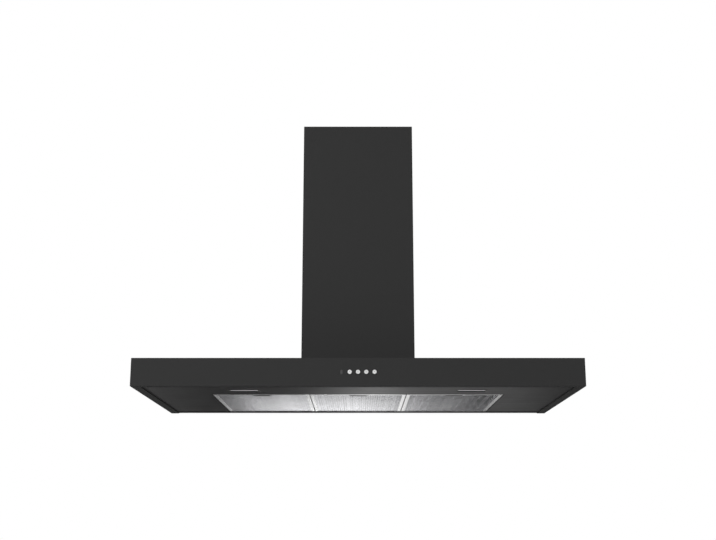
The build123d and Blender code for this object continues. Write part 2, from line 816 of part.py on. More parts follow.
with BuildPart() as blower_wheel:
    with BuildSketch(side_plane(wheel_half_width)):
        with Locations((wheel_u, wheel_v)):
            Circle(wheel_radius)
            Circle(wheel_bore_radius, mode=Mode.SUBTRACT)
    extrude(amount=wheel_ring)
    with BuildSketch(side_plane(-wheel_half_width + wheel_ring)):
        with Locations((wheel_u, wheel_v)):
            Circle(wheel_radius)
            Circle(wheel_bore_radius, mode=Mode.SUBTRACT)
    extrude(amount=wheel_ring)
    with BuildSketch(side_plane(wheel_disc / 2)):
        with Locations((wheel_u, wheel_v)):
            Circle(wheel_radius)
    extrude(amount=wheel_disc)
    with BuildSketch(side_plane(hub_half_length)):
        with Locations((wheel_u, wheel_v)):
            Circle(hub_radius)
    extrude(amount=2 * hub_half_length)
    with BuildSketch(side_plane(hub_half_length)):
        with Locations((wheel_u, wheel_v)):
            Circle(shaft_radius)
    extrude(amount=2 * hub_half_length, mode=Mode.SUBTRACT)
    with BuildSketch(side_plane(wheel_half_width)):
        with Locations((wheel_u, wheel_v)):
            with PolarLocations(0, blade_count):
                add(blade.sketch)
    extrude(amount=2 * wheel_half_width)
save(blower_wheel.part, "blower_wheel")

motor_end = motor_start + motor_length
shaft_start = -hub_half_length - hub_edge
shaft_end = motor_end + spider_sheet + shaft_stick_out
with BuildPart() as motor_shaft:
    with BuildSketch(side_plane(shaft_end)):
        with Locations((wheel_u, wheel_v)):
            Circle(shaft_radius)
    extrude(amount=shaft_end - shaft_start)
    chamfer(motor_shaft.edges().filter_by(GeomType.CIRCLE), shaft_edge)
save(motor_shaft.part, "motor_shaft")

with BuildPart() as motor:
    with BuildSketch(Plane(origin=(0, -wheel_u, wheel_v), x_dir=(1, 0, 0), z_dir=(0, -1, 0))):
        with BuildLine():
            Polyline(
                (motor_start, bush_radius),
                (motor_start, motor_face_radius),
                (motor_start + motor_shoulder, motor_neck_radius),
                (motor_start + motor_shoulder + motor_slope, motor_radius),
                (motor_end - motor_shoulder - motor_slope, motor_radius),
                (motor_end - motor_shoulder, motor_neck_radius),
                (motor_end, motor_face_radius),
                (motor_end, bush_radius),
                close=True,
            )
        make_face()
    revolve(axis=Axis((0, -wheel_u, wheel_v), (1, 0, 0)))
save(motor.part, "motor")

with BuildPart() as motor_bushes:
    for bush_x in (motor_start + bush_length, motor_end):
        with BuildSketch(side_plane(bush_x)):
            with Locations((wheel_u, wheel_v)):
                Circle(bush_radius)
                Circle(shaft_radius + shaft_play, mode=Mode.SUBTRACT)
        extrude(amount=bush_length)
save(motor_bushes.part, "motor_bushes")

with BuildPart() as motor_spider:
    with BuildSketch(side_plane(motor_end + spider_sheet)):
        with Locations((wheel_u, wheel_v)):
            Circle(spider_hub_radius)
            with PolarLocations(0, spider_arms, start_angle=90):
                with Locations((spider_reach / 2, 0)):
                    Rectangle(spider_reach, spider_arm_width)
            with PolarLocations(spider_reach, spider_arms, start_angle=90):
                Circle(spider_arm_width / 2)
                Circle(screw_hole_radius, mode=Mode.SUBTRACT)
            Circle(shaft_radius + spider_bore_play, mode=Mode.SUBTRACT)
    extrude(amount=spider_sheet)
save(motor_spider.part, "motor_spider")

with BuildPart() as motor_grommets:
    with BuildSketch(side_plane(motor_end)):
        with Locations((wheel_u, wheel_v)):
            with PolarLocations(spider_reach, spider_arms, start_angle=90):
                Circle(grommet_radius)
                Circle(screw_hole_radius, mode=Mode.SUBTRACT)
    extrude(amount=motor_end - scroll_half - scroll_wall)
save(motor_grommets.part, "motor_grommets")

with BuildPart() as motor_screws:
    with BuildSketch(side_plane(motor_end + spider_sheet + screw_head_height)):
        with Locations((wheel_u, wheel_v)):
            with PolarLocations(spider_reach, spider_arms, start_angle=90):
                Circle(screw_head_radius)
    extrude(amount=screw_head_height)
    with BuildSketch(side_plane(motor_end + spider_sheet)):
        with Locations((wheel_u, wheel_v)):
            with PolarLocations(spider_reach, spider_arms, start_angle=90):
                Circle(screw_radius)
    extrude(amount=motor_end + spider_sheet - scroll_half - scroll_wall)
save(motor_screws.part, "motor_screws")

capacitor_x = -(box_width / 2 - box_sheet - capacitor_clip - capacitor_radius)
capacitor_z = canopy_top + capacitor_rise
capacitor_y = -box_depth / 2 + capacitor_length / 2
with BuildPart() as motor_capacitor:
    with BuildSketch(front_plane(-capacitor_y)):
        with Locations((capacitor_x, capacitor_z)):
            Circle(capacitor_radius)
    extrude(amount=capacitor_length)
    chamfer(motor_capacitor.faces().filter_by(Axis.Y).edges(), capacitor_edge)
save(motor_capacitor.part, "motor_capacitor")

with BuildPart() as capacitor_clamp:
    with BuildSketch(front_plane(-capacitor_y + (capacitor_length - clamp_width) / 2)):
        with Locations((capacitor_x, capacitor_z)):
            Circle(capacitor_radius + capacitor_clip)
            Circle(capacitor_radius, mode=Mode.SUBTRACT)
        with Locations((-(box_width / 2 - box_sheet), capacitor_z)):
            Rectangle(capacitor_clip, clamp_foot, align=(Align.MIN, Align.CENTER))
    extrude(amount=clamp_width)
save(capacitor_clamp.part, "capacitor_clamp")

# ================================================================ duct collar and non-return flaps
with BuildPart() as duct_collar:
    with BuildSketch(Plane.XY.offset(collar_base)):
        with Locations((0, -collar_u)):
            Circle(collar_radius + collar_flange)
    extrude(amount=collar_flange_thickness)
    with BuildSketch(Plane.XY.offset(collar_base)):
        with Locations((0, -collar_u)):
            Circle(collar_radius)
    extrude(amount=collar_height)
    with BuildSketch(Plane.XY.offset(collar_base)):
        with Locations((0, -collar_u)):
            Circle(collar_radius - collar_wall)
    extrude(amount=collar_height, mode=Mode.SUBTRACT)
    with BuildSketch(Plane.XY.offset(flap_z - flap_thickness / 2 - seat_gap)):
        with Locations((0, -collar_u)):
            Circle(collar_radius - collar_wall)
            Circle(collar_radius - collar_wall - stop_width, mode=Mode.SUBTRACT)
            Rectangle(2 * collar_radius, 4 * knuckle_radius, mode=Mode.SUBTRACT)
    extrude(amount=-stop_height)
    with BuildSketch(side_plane(collar_radius)):
        with Locations((collar_u, flap_z)):
            Circle(flap_pin_radius)
    extrude(amount=2 * collar_radius, mode=Mode.SUBTRACT)
save(duct_collar.part, "duct_collar")

pin_half = collar_radius - collar_wall / 4
with BuildPart() as flap_pin:
    with BuildSketch(side_plane(pin_half)):
        with Locations((collar_u, flap_z)):
            Circle(flap_pin_radius)
    extrude(amount=2 * pin_half)
save(flap_pin.part, "flap_pin")

flap_radius = collar_radius - collar_wall - flap_clearance
knuckle_pitch = 2 * (flap_radius - knuckle_radius) / knuckle_count
knuckle_places = [(i - (knuckle_count - 1) / 2) * knuckle_pitch for i in range(knuckle_count)]
knuckle_width = knuckle_pitch - knuckle_gap
for name, sign, own_places in (
    ("flap_front", 1, knuckle_places[0::2]),
    ("flap_rear", -1, knuckle_places[1::2]),
):
    root_align = Align.MIN if sign > 0 else Align.MAX
    with BuildPart() as flap:
        with BuildSketch(Plane.XY.offset(flap_z - flap_thickness / 2)):
            with Locations((0, -collar_u)):
                Circle(flap_radius)
            with Locations((0, -collar_u - sign * flap_root)):
                Rectangle(
                    2 * collar_radius,
                    2 * collar_radius,
                    align=(Align.CENTER, root_align),
                    mode=Mode.SUBTRACT,
                )
            with Locations(*[(x, -collar_u - sign * (flap_root + flap_hem)) for x in own_places]):
                Rectangle(knuckle_width, flap_root + flap_hem, align=(Align.CENTER, root_align))
        extrude(amount=flap_thickness)
        for knuckle_x in own_places:
            with BuildSketch(side_plane(knuckle_x + knuckle_width / 2)):
                with Locations((collar_u, flap_z)):
                    Circle(knuckle_radius)
            extrude(amount=knuckle_width)
        with BuildSketch(side_plane(flap_radius)):
            with Locations((collar_u, flap_z)):
                Circle(flap_pin_radius + flap_play)
        extrude(amount=2 * flap_radius, mode=Mode.SUBTRACT)
    save(flap.part, name)

# ================================================================ electronics box and cable gland
electronics_y = -(electronics_wall_gap + electronics_depth / 2)
lid_bottom = box_top + electronics_height
with BuildPart() as electronics_box:
    with BuildSketch(Plane.XY.offset(box_top)):
        with Locations((0, electronics_y)):
            RectangleRounded(electronics_width, electronics_depth, 2 * electronics_wall)
    extrude(amount=electronics_height)
    offset(
        amount=-electronics_wall,
        openings=electronics_box.faces().sort_by(Axis.Z)[-1],
        kind=Kind.INTERSECTION,
    )
save(electronics_box.part, "electronics_box")

gland_place = (gland_x, electronics_y)
with BuildPart() as electronics_lid:
    with BuildSketch(Plane.XY.offset(lid_bottom)):
        with Locations((0, electronics_y)):
            RectangleRounded(electronics_width, electronics_depth, 2 * electronics_wall)
        with Locations(gland_place):
            Circle(gland_bore_radius + gland_thread, mode=Mode.SUBTRACT)
    extrude(amount=lid_thickness)
save(electronics_lid.part, "electronics_lid")

gland_seat = lid_bottom + lid_thickness
with BuildPart() as cable_gland:
    with BuildSketch(Plane.XY.offset(gland_seat)):
        with Locations(gland_place):
            RegularPolygon(gland_nut_width / 2, 6, major_radius=False)
    extrude(amount=gland_nut_height)
    with BuildSketch(Plane.XY.offset(gland_seat)):
        with Locations(gland_place):
            Circle(gland_body_radius)
    extrude(amount=gland_height)
    chamfer(cable_gland.faces().sort_by(Axis.Z)[-1].edges(), gland_edge)
    with BuildSketch(Plane.XY.offset(gland_seat)):
        with Locations(gland_place):
            Circle(gland_bore_radius + gland_thread)
    extrude(amount=-(lid_thickness + gland_lock_height))
    with BuildSketch(Plane.XY.offset(gland_seat + gland_height)):
        with Locations(gland_place):
            Circle(gland_bore_radius)
    extrude(amount=-(gland_height + lid_thickness + gland_lock_height), mode=Mode.SUBTRACT)
save(cable_gland.part, "cable_gland")

with BuildPart() as gland_locknut:
    with BuildSketch(Plane.XY.offset(lid_bottom)):
        with Locations(gland_place):
            RegularPolygon(gland_nut_width / 2, 6, major_radius=False)
            Circle(gland_bore_radius + gland_thread, mode=Mode.SUBTRACT)
    extrude(amount=-gland_lock_height)
save(gland_locknut.part, "gland_locknut")

with BuildPart() as plate_screws:
    with BuildSketch(Plane.XY.offset(box_top)):
        with Locations(*plate_screw_places):
            Circle(screw_head_radius)
    extrude(amount=screw_head_height)
    with BuildSketch(Plane.XY.offset(box_top)):
        with Locations(*plate_screw_places):
            Circle(screw_radius)
    extrude(amount=-(2 * box_sheet + screw_tail))
save(plate_screws.part, "plate_screws")

# ================================================================ chimney covers
def draw_cover(width, back, front, return_width):
    """Draw a folded cover in plan: a front, two sides and a narrow return at each back edge."""
    with Locations((0, -(front + back) / 2)):
        RectangleRounded(width, front - back, chimney_bend)
        RectangleRounded(
            width - 2 * chimney_sheet,
            front - back - 2 * chimney_sheet,
            chimney_bend - chimney_sheet / 2,
            mode=Mode.SUBTRACT,
        )
    with Locations((0, -back)):
        Rectangle(width - 2 * return_width, 4 * chimney_sheet, mode=Mode.SUBTRACT)


with BuildPart() as lower_chimney:
    with BuildSketch(Plane.XY.offset(canopy_top)):
        draw_cover(chimney_width, 0, chimney_depth, chimney_return)
    extrude(amount=chimney_height)
    with BuildSketch(Plane.XY.offset(canopy_top)):
        with Locations((0, -(chimney_depth - chimney_sheet))):
            Rectangle(chimney_tab_width, chimney_tab_depth, align=(Align.CENTER, Align.MIN))
        with Locations((-(chimney_width / 2 - chimney_sheet), chimney_tab_places[1][1])):
            Rectangle(chimney_tab_depth, chimney_tab_width, align=(Align.MIN, Align.CENTER))
        with Locations((chimney_width / 2 - chimney_sheet, chimney_tab_places[2][1])):
            Rectangle(chimney_tab_depth, chimney_tab_width, align=(Align.MAX, Align.CENTER))
        with Locations(*chimney_tab_places):
            Circle(screw_hole_radius, mode=Mode.SUBTRACT)
    extrude(amount=chimney_sheet)
save(lower_chimney.part, "lower_chimney")

upper_back = chimney_sheet + telescope_gap
bracket_step = upper_back + chimney_sheet + chimney_bend
upper_top = chimney_top - upper_recess
bracket_z = upper_top - bracket_below_top - bracket_height / 2
bracket_screw_y = -(bracket_step + bracket_screw_inset)
with BuildPart() as upper_chimney:
    with BuildSketch(Plane.XY.offset(upper_bottom)):
        draw_cover(2 * upper_half, upper_back, upper_front, chimney_return)
    extrude(amount=upper_top - upper_bottom)
    with BuildSketch(side_plane(upper_half)):
        with Locations((-bracket_screw_y, bracket_z)):
            Circle(screw_hole_radius)
    extrude(amount=2 * upper_half, mode=Mode.SUBTRACT)
save(upper_chimney.part, "upper_chimney")

bracket_half = upper_half - chimney_sheet
with BuildPart() as chimney_bracket:
    with BuildSketch(Plane.XY.offset(bracket_z - bracket_height / 2)):
        for sign in (-1, 1):
            with BuildLine():
                Polyline(
                    (0, 0),
                    (sign * bracket_flat / 2, 0),
                    (sign * bracket_flat / 2, -bracket_step),
                    (sign * bracket_half, -bracket_step),
                    (sign * bracket_half, -bracket_step - bracket_wing),
                    (sign * (bracket_half - bracket_sheet), -bracket_step - bracket_wing),
                    (sign * (bracket_half - bracket_sheet), -bracket_step - bracket_sheet),
                    (sign * (bracket_flat / 2 - bracket_sheet), -bracket_step - bracket_sheet),
                    (sign * (bracket_flat / 2 - bracket_sheet), -bracket_sheet),
                    (0, -bracket_sheet),
                    close=True,
                )
            make_face()
    extrude(amount=bracket_height)
    with BuildSketch(front_plane(0)):
        with Locations((0, bracket_z)):
            with GridLocations(bracket_slot_spacing, 1, 2, 1):
                SlotOverall(bracket_slot_length, 2 * bracket_slot_radius)
    extrude(amount=bracket_sheet, mode=Mode.SUBTRACT)
    with BuildSketch(side_plane(bracket_half)):
        with Locations((-bracket_screw_y, bracket_z)):
            Circle(screw_hole_radius)
    extrude(amount=2 * bracket_half, mode=Mode.SUBTRACT)
save(chimney_bracket.part, "chimney_bracket")

with BuildPart() as bracket_screws:
    for sign in (-1, 1):
        nut_face = sign * (bracket_half - bracket_sheet)
        with BuildSketch(side_plane(sign * upper_half)):
            with Locations((-bracket_screw_y, bracket_z)):
                Circle(screw_radius)
        extrude(amount=sign * (chimney_sheet + bracket_sheet + bracket_nut_height))
        with BuildSketch(side_plane(nut_face)):
            with Locations((-bracket_screw_y, bracket_z)):
                RegularPolygon(bracket_nut_width / 2, 6, major_radius=False)
        extrude(amount=sign * bracket_nut_height)
save(bracket_screws.part, "bracket_screws")
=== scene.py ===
"""The finished look of a wall-mounted chimney range hood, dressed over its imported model.

Everything is in metres in the model's own frame: the wall is the plane y = 0, the cook
stands at -Y, z = 0 is the hood's lower edge and x = 0 is its middle.
"""
from __future__ import annotations

import json
import logging
import math
from collections.abc import Callable, Mapping, Sequence
from dataclasses import dataclass, field
from enum import Enum, StrEnum

import bmesh
import bpy
from mathutils import Matrix, Vector
from mathutils.geometry import tessellate_polygon

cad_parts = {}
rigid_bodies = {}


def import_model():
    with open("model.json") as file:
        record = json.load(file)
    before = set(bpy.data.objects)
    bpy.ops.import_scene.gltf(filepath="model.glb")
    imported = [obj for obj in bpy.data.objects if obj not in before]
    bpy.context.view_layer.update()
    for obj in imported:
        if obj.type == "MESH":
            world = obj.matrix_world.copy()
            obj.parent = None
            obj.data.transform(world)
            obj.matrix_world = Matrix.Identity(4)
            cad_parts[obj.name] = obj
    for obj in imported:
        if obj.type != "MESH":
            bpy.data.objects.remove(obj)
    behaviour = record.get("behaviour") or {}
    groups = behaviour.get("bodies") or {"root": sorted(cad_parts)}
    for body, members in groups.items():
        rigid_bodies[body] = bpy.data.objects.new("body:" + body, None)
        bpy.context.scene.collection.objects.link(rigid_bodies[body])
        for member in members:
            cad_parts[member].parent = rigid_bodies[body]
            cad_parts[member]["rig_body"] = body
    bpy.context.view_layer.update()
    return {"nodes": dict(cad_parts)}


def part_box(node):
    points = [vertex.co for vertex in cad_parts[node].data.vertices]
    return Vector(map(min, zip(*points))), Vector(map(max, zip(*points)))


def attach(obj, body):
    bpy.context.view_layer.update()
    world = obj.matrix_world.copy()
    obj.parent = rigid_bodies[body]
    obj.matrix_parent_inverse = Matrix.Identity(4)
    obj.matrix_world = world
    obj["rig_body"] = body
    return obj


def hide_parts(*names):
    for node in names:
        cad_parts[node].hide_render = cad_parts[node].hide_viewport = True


LOG = logging.getLogger("range_hood")
MM = 0.001
SAME_POINT = 0.001 * MM
SORT_PLACES = 5
SHARP_EDGE = math.radians(35)
DRAWN_OUT = 0.02

Colour = tuple[float, float, float]
Point = tuple[float, float, float]

WHITE: Colour = (1.0, 1.0, 1.0)


def light(level: int) -> float:
    """Return the light that a level on a screen, 0 to 255, stands for, by the sRGB curve."""
    share = level / 255
    return share / 12.92 if share <= 0.04045 else ((share + 0.055) / 1.055) ** 2.4


def srgb(red: int, green: int, blue: int) -> Colour:
    """Return a colour as seen on a screen, each part 0 to 255."""
    return light(red), light(green), light(blue)


def grey(level: int) -> Colour:
    """Return a neutral colour as seen on a screen, 0 to 255."""
    return srgb(level, level, level)


class Side(StrEnum):
    """Where a filter or a lamp stands, as the cook sees it."""

    LEFT = "left"
    CENTRE = "centre"
    RIGHT = "right"


class Along(Enum):
    """The way that rolling or brushing lines run, as a scale that draws noise out to lines."""

    WIDTH = (DRAWN_OUT, 1.0, 1.0)
    DEPTH = (1.0, DRAWN_OUT, 1.0)
    HEIGHT = (1.0, 1.0, DRAWN_OUT)


# ---------------- shader maths
class Value:
    """A number that varies over a surface, used in sums like a plain number."""

    def __init__(self, recipe: Recipe, socket: bpy.types.NodeSocket) -> None:
        """Wrap one output socket of a recipe's node."""
        self.recipe = recipe
        self.socket = socket

    def __add__(self, other: Term) -> Value:
        """Return self + other."""
        return self.recipe.maths("ADD", self, other)

    def __radd__(self, other: Term) -> Value:
        """Return other + self."""
        return self.recipe.maths("ADD", other, self)

    def __sub__(self, other: Term) -> Value:
        """Return self - other."""
        return self.recipe.maths("SUBTRACT", self, other)

    def __rsub__(self, other: Term) -> Value:
        """Return other - self."""
        return self.recipe.maths("SUBTRACT", other, self)

    def __mul__(self, other: Term) -> Value:
        """Return self * other."""
        return self.recipe.maths("MULTIPLY", self, other)

    def __rmul__(self, other: Term) -> Value:
        """Return other * self."""
        return self.recipe.maths("MULTIPLY", other, self)

    def __pow__(self, other: Term) -> Value:
        """Return self to the power of other."""
        return self.recipe.maths("POWER", self, other)

    def __abs__(self) -> Value:
        """Return the size of self without its sign."""
        return self.recipe.maths("ABSOLUTE", self)

    def swing(self, width: float) -> Value:
        """Return a swing of that width around 0, from a number that runs from 0 to 1."""
        return width * (self - 0.5)


Term = Value | float
Link = Value | bpy.types.NodeSocket | float | tuple


class Recipe:
    """The nodes of one material or of the world."""

    def __init__(self, tree: bpy.types.NodeTree) -> None:
        """Take over a tree and empty it."""
        self.tree = tree
        self.tree.nodes.clear()

    def node(
        self,
        kind: str,
        settings: Mapping[str, object] | None = None,
        inputs: Mapping[str | int, Link] | None = None,
    ) -> bpy.types.Node:
        """Add a node.

        Args:
            kind: The node's type, without its ShaderNode prefix.
            settings: What is set on the node first; "stops" holds a ramp's stops.
            inputs: A value or a link for each socket, by name or number.

        Returns:
            The new node.
        """
        made = self.tree.nodes.new("ShaderNode" + kind)
        for name, setting in (settings or {}).items():
            if name == "stops":
                self._set_stops(made.color_ramp, setting)
            else:
                setattr(made, name, setting)
        for name, value in (inputs or {}).items():
            socket = made.inputs[name]
            source = value.socket if isinstance(value, Value) else value
            if isinstance(source, bpy.types.NodeSocket):
                self.tree.links.new(source, socket)
            else:
                socket.default_value = (*source, 1.0) if socket.type == "RGBA" else source
        return made

    @staticmethod
    def _set_stops(ramp: bpy.types.ColorRamp, stops: Sequence[tuple[float, Colour]]) -> None:
        """Give a ramp its stops.

        Args:
            ramp: A new ramp.
            stops: Each stop's place, from 0 to 1, and its colour.
        """
        while len(ramp.elements) < len(stops):
            ramp.elements.new(1.0)
        for element, (place, colour) in zip(ramp.elements, stops):
            element.position = place
            element.color = (*colour, 1.0)

    def maths(self, operation: str, *terms: Term) -> Value:
        """Return the result of one Math node."""
        made = self.node("Math", {"operation": operation}, dict(enumerate(terms)))
        return Value(self, made.outputs[0])

    def place(self) -> bpy.types.NodeSocket:
        """Return the point on the object, in metres, which moves with the object."""
        return self.node("TexCoord").outputs["Object"]

    def axes(self) -> tuple[Value, Value, Value]:
        """Return the point on the object as three numbers."""
        split = self.node("SeparateXYZ", inputs={0: self.place()})
        return tuple(Value(self, output) for output in split.outputs)

    def stretched(self, scale: Point) -> bpy.types.NodeSocket:
        """Return the point on the object with each axis scaled."""
        settings = {"operation": "MULTIPLY"}
        return self.node("VectorMath", settings, {0: self.place(), 1: scale}).outputs[0]

    def noise(self, size: float, detail: float = 2.0, along: Along | None = None) -> Value:
        """Make soft noise.

        Args:
            size: How large its spots are, in metres.
            detail: How many finer layers it has.
            along: The way it is drawn out, if it is.

        Returns:
            The noise, from 0 to 1.
        """
        place = self.stretched(along.value) if along else self.place()
        made = self.node("TexNoise", inputs={"Vector": place, "Scale": 1 / size, "Detail": detail})
        return Value(self, made.outputs[0])

    def cells(self, size: float) -> tuple[Value, Value]:
        """Make crystals.

        Args:
            size: How large they are, in metres.

        Returns:
            The distance to each crystal's middle, and a number of its own from 0 to 1.
        """
        made = self.node("TexVoronoi", inputs={"Vector": self.place(), "Scale": 1 / size})
        shade = self.node("SeparateColor", inputs={0: made.outputs["Color"]})
        return Value(self, made.outputs["Distance"]), Value(self, shade.outputs[0])

    def step(self, value: Term, low: float, high: float) -> Value:
        """Make a smooth step.

        Args:
            value: What it follows.
            low: Where it begins to rise.
            high: Where it is full.

        Returns:
            0 below low, 1 above high and a smooth rise between them.
        """
        settings = {"interpolation_type": "SMOOTHSTEP"}
        made = self.node("MapRange", settings, {"Value": value, "From Min": low, "From Max": high})
        return Value(self, made.outputs[0])

    def tint(self, factor: Term, first: Colour, second: Colour) -> bpy.types.NodeSocket:
        """Return the first colour where factor is 0 and the second where it is 1."""
        ramp = {"stops": ((0.0, first), (1.0, second))}
        return self.node("ValToRGB", ramp, {0: factor}).outputs[0]

    def bump(self, height: Term, depth: float, strength: float = 1.0) -> bpy.types.NodeSocket:
        """Return a normal roughened by a height from 0 to 1 of that depth in metres."""
        sockets = {"Height": height, "Distance": depth, "Strength": strength}
        return self.node("Bump", inputs=sockets).outputs[0]

    def cover(self, sockets: Mapping[str, Link]) -> None:
        """Close the material with one principled surface."""
        self.close("OutputMaterial", self.node("BsdfPrincipled", inputs=sockets))

    def close(self, output: str, surface: bpy.types.Node) -> None:
        """Lead a finished surface or background into an output node of that type."""
        self.node(output, inputs={"Surface": surface.outputs[0]})


def blank_material(name: str) -> tuple[bpy.types.Material, Recipe]:
    """Make a new material.

    Args:
        name: The material's name.

    Returns:
        The material and its empty nodes.
    """
    made = bpy.data.materials.new(name)
    made.use_nodes = True
    return made, Recipe(made.node_tree)


# ---------------- finishes
@dataclass(frozen=True)
class Finish:
    """What every finish has: its name, its colour and its gloss."""

    name: str
    colour: Colour
    roughness: float = 0.5
    metallic: float = 0.0
    specular: float = 0.5

    def material(self) -> bpy.types.Material:
        """Find this finish's material, or make it the first time.

        Returns:
            The material.
        """
        found = bpy.data.materials.get(self.name)
        if found is None:
            found, recipe = blank_material(self.name)
            steady = {"Metallic": self.metallic, "Specular IOR Level": self.specular}
            recipe.cover({**steady, **self.skin(recipe)})
        return found

    def skin(self, recipe: Recipe) -> dict[str, Link]:
        """Make what varies over this finish; each kind of finish has its own.

        Args:
            recipe: The material's nodes.

        Returns:
            The surface's sockets and what each gets.
        """
        raise NotImplementedError

    def shade(self, factor: float) -> Colour:
        """Return this finish's colour made lighter or darker."""
        return tuple(min(1.0, part * factor) for part in self.colour)


@dataclass(frozen=True)
class Grained(Finish):
    """A fine grain over a broad cloud, as paint, sheet, castings and mouldings have.

    Fields:
        grain: The grain's size.
        cloud: The cloud's size.
        layers: How many finer layers the grain and the cloud have.
        along: The way that the grain is drawn out, if it is.
        share: The grain's share of the shade; the cloud has the rest.
        shades: The factors of the darkest and the palest shade.
        swings: How widely the grain and the cloud change the roughness.
        depth: The grain's depth.
        relief: How strongly that depth shows.
    """

    grain: float = 0.5 * MM
    cloud: float = 40 * MM
    layers: tuple[float, float] = (3.0, 2.0)
    along: Along | None = None
    share: float = 0.6
    shades: tuple[float, float] = (0.8, 1.14)
    swings: tuple[float, float] = (0.14, 0.1)
    depth: float = 0.008 * MM
    relief: float = 1.0

    def skin(self, recipe: Recipe) -> dict[str, Link]:
        """Make the grain and the cloud in the colour and the gloss, and the grain's relief.

        Args:
            recipe: The material's nodes.

        Returns:
            The surface's sockets and what each gets.
        """
        grain = recipe.noise(self.grain, self.layers[0], self.along)
        cloud = recipe.noise(self.cloud, self.layers[1])
        shade = self.share * grain + (1 - self.share) * cloud
        dark, pale = self.shades
        fine, broad = self.swings
        return {
            "Base Color": recipe.tint(shade, self.shade(dark), self.shade(pale)),
            "Roughness": self.roughness + cloud.swing(broad) + grain.swing(fine),
            "Normal": recipe.bump(grain, self.depth, self.relief),
        }


@dataclass(frozen=True)
class PowderCoat(Grained):
    """Baked powder: a fine orange peel with slow changes of gloss."""

    grain: float = 0.9 * MM
    cloud: float = 60 * MM
    shades: tuple[float, float] = (0.86, 1.14)
    swings: tuple[float, float] = (0.05, 0.08)
    depth: float = 0.012 * MM
    relief: float = 0.6


@dataclass(frozen=True)
class RolledMetal(Grained):
    """Sheet metal with the fine lines that rolling or brushing leaves."""

    layers: tuple[float, float] = (4.0, 2.0)
    along: Along | None = Along.WIDTH
    share: float = 0.7
    shades: tuple[float, float] = (0.88, 1.08)
    swings: tuple[float, float] = (0.16, 0.08)
    metallic: float = 1.0


@dataclass(frozen=True)
class CastMetal(Grained):
    """Sintered, plated or slit metal: an even speckle with faint stains."""

    cloud: float = 9 * MM
    metallic: float = 1.0


@dataclass(frozen=True)
class MouldedPlastic(Grained):
    """A moulding: the matt skin of its eroded mould, with faint clouds where it flowed."""

    grain: float = 0.35 * MM
    cloud: float = 25 * MM
    layers: tuple[float, float] = (2.0, 3.0)
    share: float = 0.4
    shades: tuple[float, float] = (0.85, 1.15)
    swings: tuple[float, float] = (0.12, 0.1)
    depth: float = 0.015 * MM
    relief: float = 0.7


@dataclass(frozen=True)
class BrushedCoat(Finish):
    """A thin satin lacquer over sheet that was brushed along the hood's width."""

    line: float = 0.7 * MM
    band: float = 6 * MM
    cloud: float = 90 * MM
    depth: float = 0.004 * MM

    def skin(self, recipe: Recipe) -> dict[str, Link]:
        """Make faint lines in the colour, the gloss and the surface.

        Args:
            recipe: The material's nodes.

        Returns:
            The surface's sockets and what each gets.
        """
        lines = recipe.noise(self.line, 4.0, Along.WIDTH)
        bands = recipe.noise(self.band, 2.0, Along.WIDTH)
        cloud = recipe.noise(self.cloud)
        return {
            "Base Color": recipe.tint(0.5 * lines + 0.5 * bands, self.shade(0.8), self.shade(1.2)),
            "Roughness": self.roughness + lines.swing(0.1) + bands.swing(0.12) + cloud.swing(0.05),
            "Normal": recipe.bump(lines, self.depth),
        }


@dataclass(frozen=True)
class FrameRail(Finish):
    """Satin aluminium rails, ruled along each rail and mitred at the corners."""

    middle: tuple[float, float] = (0.0, 0.0)
    half: tuple[float, float] = (0.1, 0.1)
    line: float = 0.5 * MM
    seam: float = 0.22 * MM
    mitre: float = 0.1 * MM
    cloud: float = 30 * MM
    depth: float = 0.02 * MM
    metallic: float = 1.0

    def skin(self, recipe: Recipe) -> dict[str, Link]:
        """Make lines that turn at each corner, where a thin dark seam divides the rails.

        Args:
            recipe: The material's nodes.

        Returns:
            The surface's sockets and what each gets.
        """
        x, y, _ = recipe.axes()
        from_side = self.half[0] - abs(x - self.middle[0])
        from_end = self.half[1] - abs(y - self.middle[1])
        side_rail = recipe.step(from_end - from_side, -self.mitre, self.mitre)
        lengthwise = recipe.noise(self.line, 4.0, Along.DEPTH)
        crosswise = recipe.noise(self.line, 4.0, Along.WIDTH)
        lines = side_rail * lengthwise + (1 - side_rail) * crosswise
        seam = 1 - recipe.step(abs(from_end - from_side), 0.4 * self.seam, self.seam)
        cloud = recipe.noise(self.cloud)
        shade = (0.76 + 0.14 * lines + 0.1 * cloud) * (1 - 0.95 * seam)
        return {
            "Base Color": recipe.tint(shade, self.shade(0.15), self.shade(1.12)),
            "Roughness": self.roughness + lines.swing(0.14) + 0.3 * seam,
            "Normal": recipe.bump(lines - 3 * seam, self.depth),
        }


@dataclass(frozen=True)
class Galvanised(Finish):
    """Hot-dipped zinc with its frosty crystals."""

    crystal: float = 9 * MM
    grain: float = 0.8 * MM
    dull: float = 70 * MM
    depth: float = 0.02 * MM
    metallic: float = 0.85

    def skin(self, recipe: Recipe) -> dict[str, Link]:
        """Make crystals that differ in shade and gloss, with a little dulling.

        Args:
            recipe: The material's nodes.

        Returns:
            The surface's sockets and what each gets.
        """
        edge, own = recipe.cells(self.crystal)
        grain = recipe.noise(self.grain, 3.0)
        dull = recipe.noise(self.dull, 3.0)
        shade = 0.55 * own + 0.25 * dull + 0.2 * grain
        return {
            "Base Color": recipe.tint(shade, self.shade(0.72), self.shade(1.16)),
            "Roughness": self.roughness + own.swing(0.22) + dull.swing(0.12),
            "Normal": recipe.bump(0.5 * edge + 0.5 * grain, self.depth, 0.5),
        }


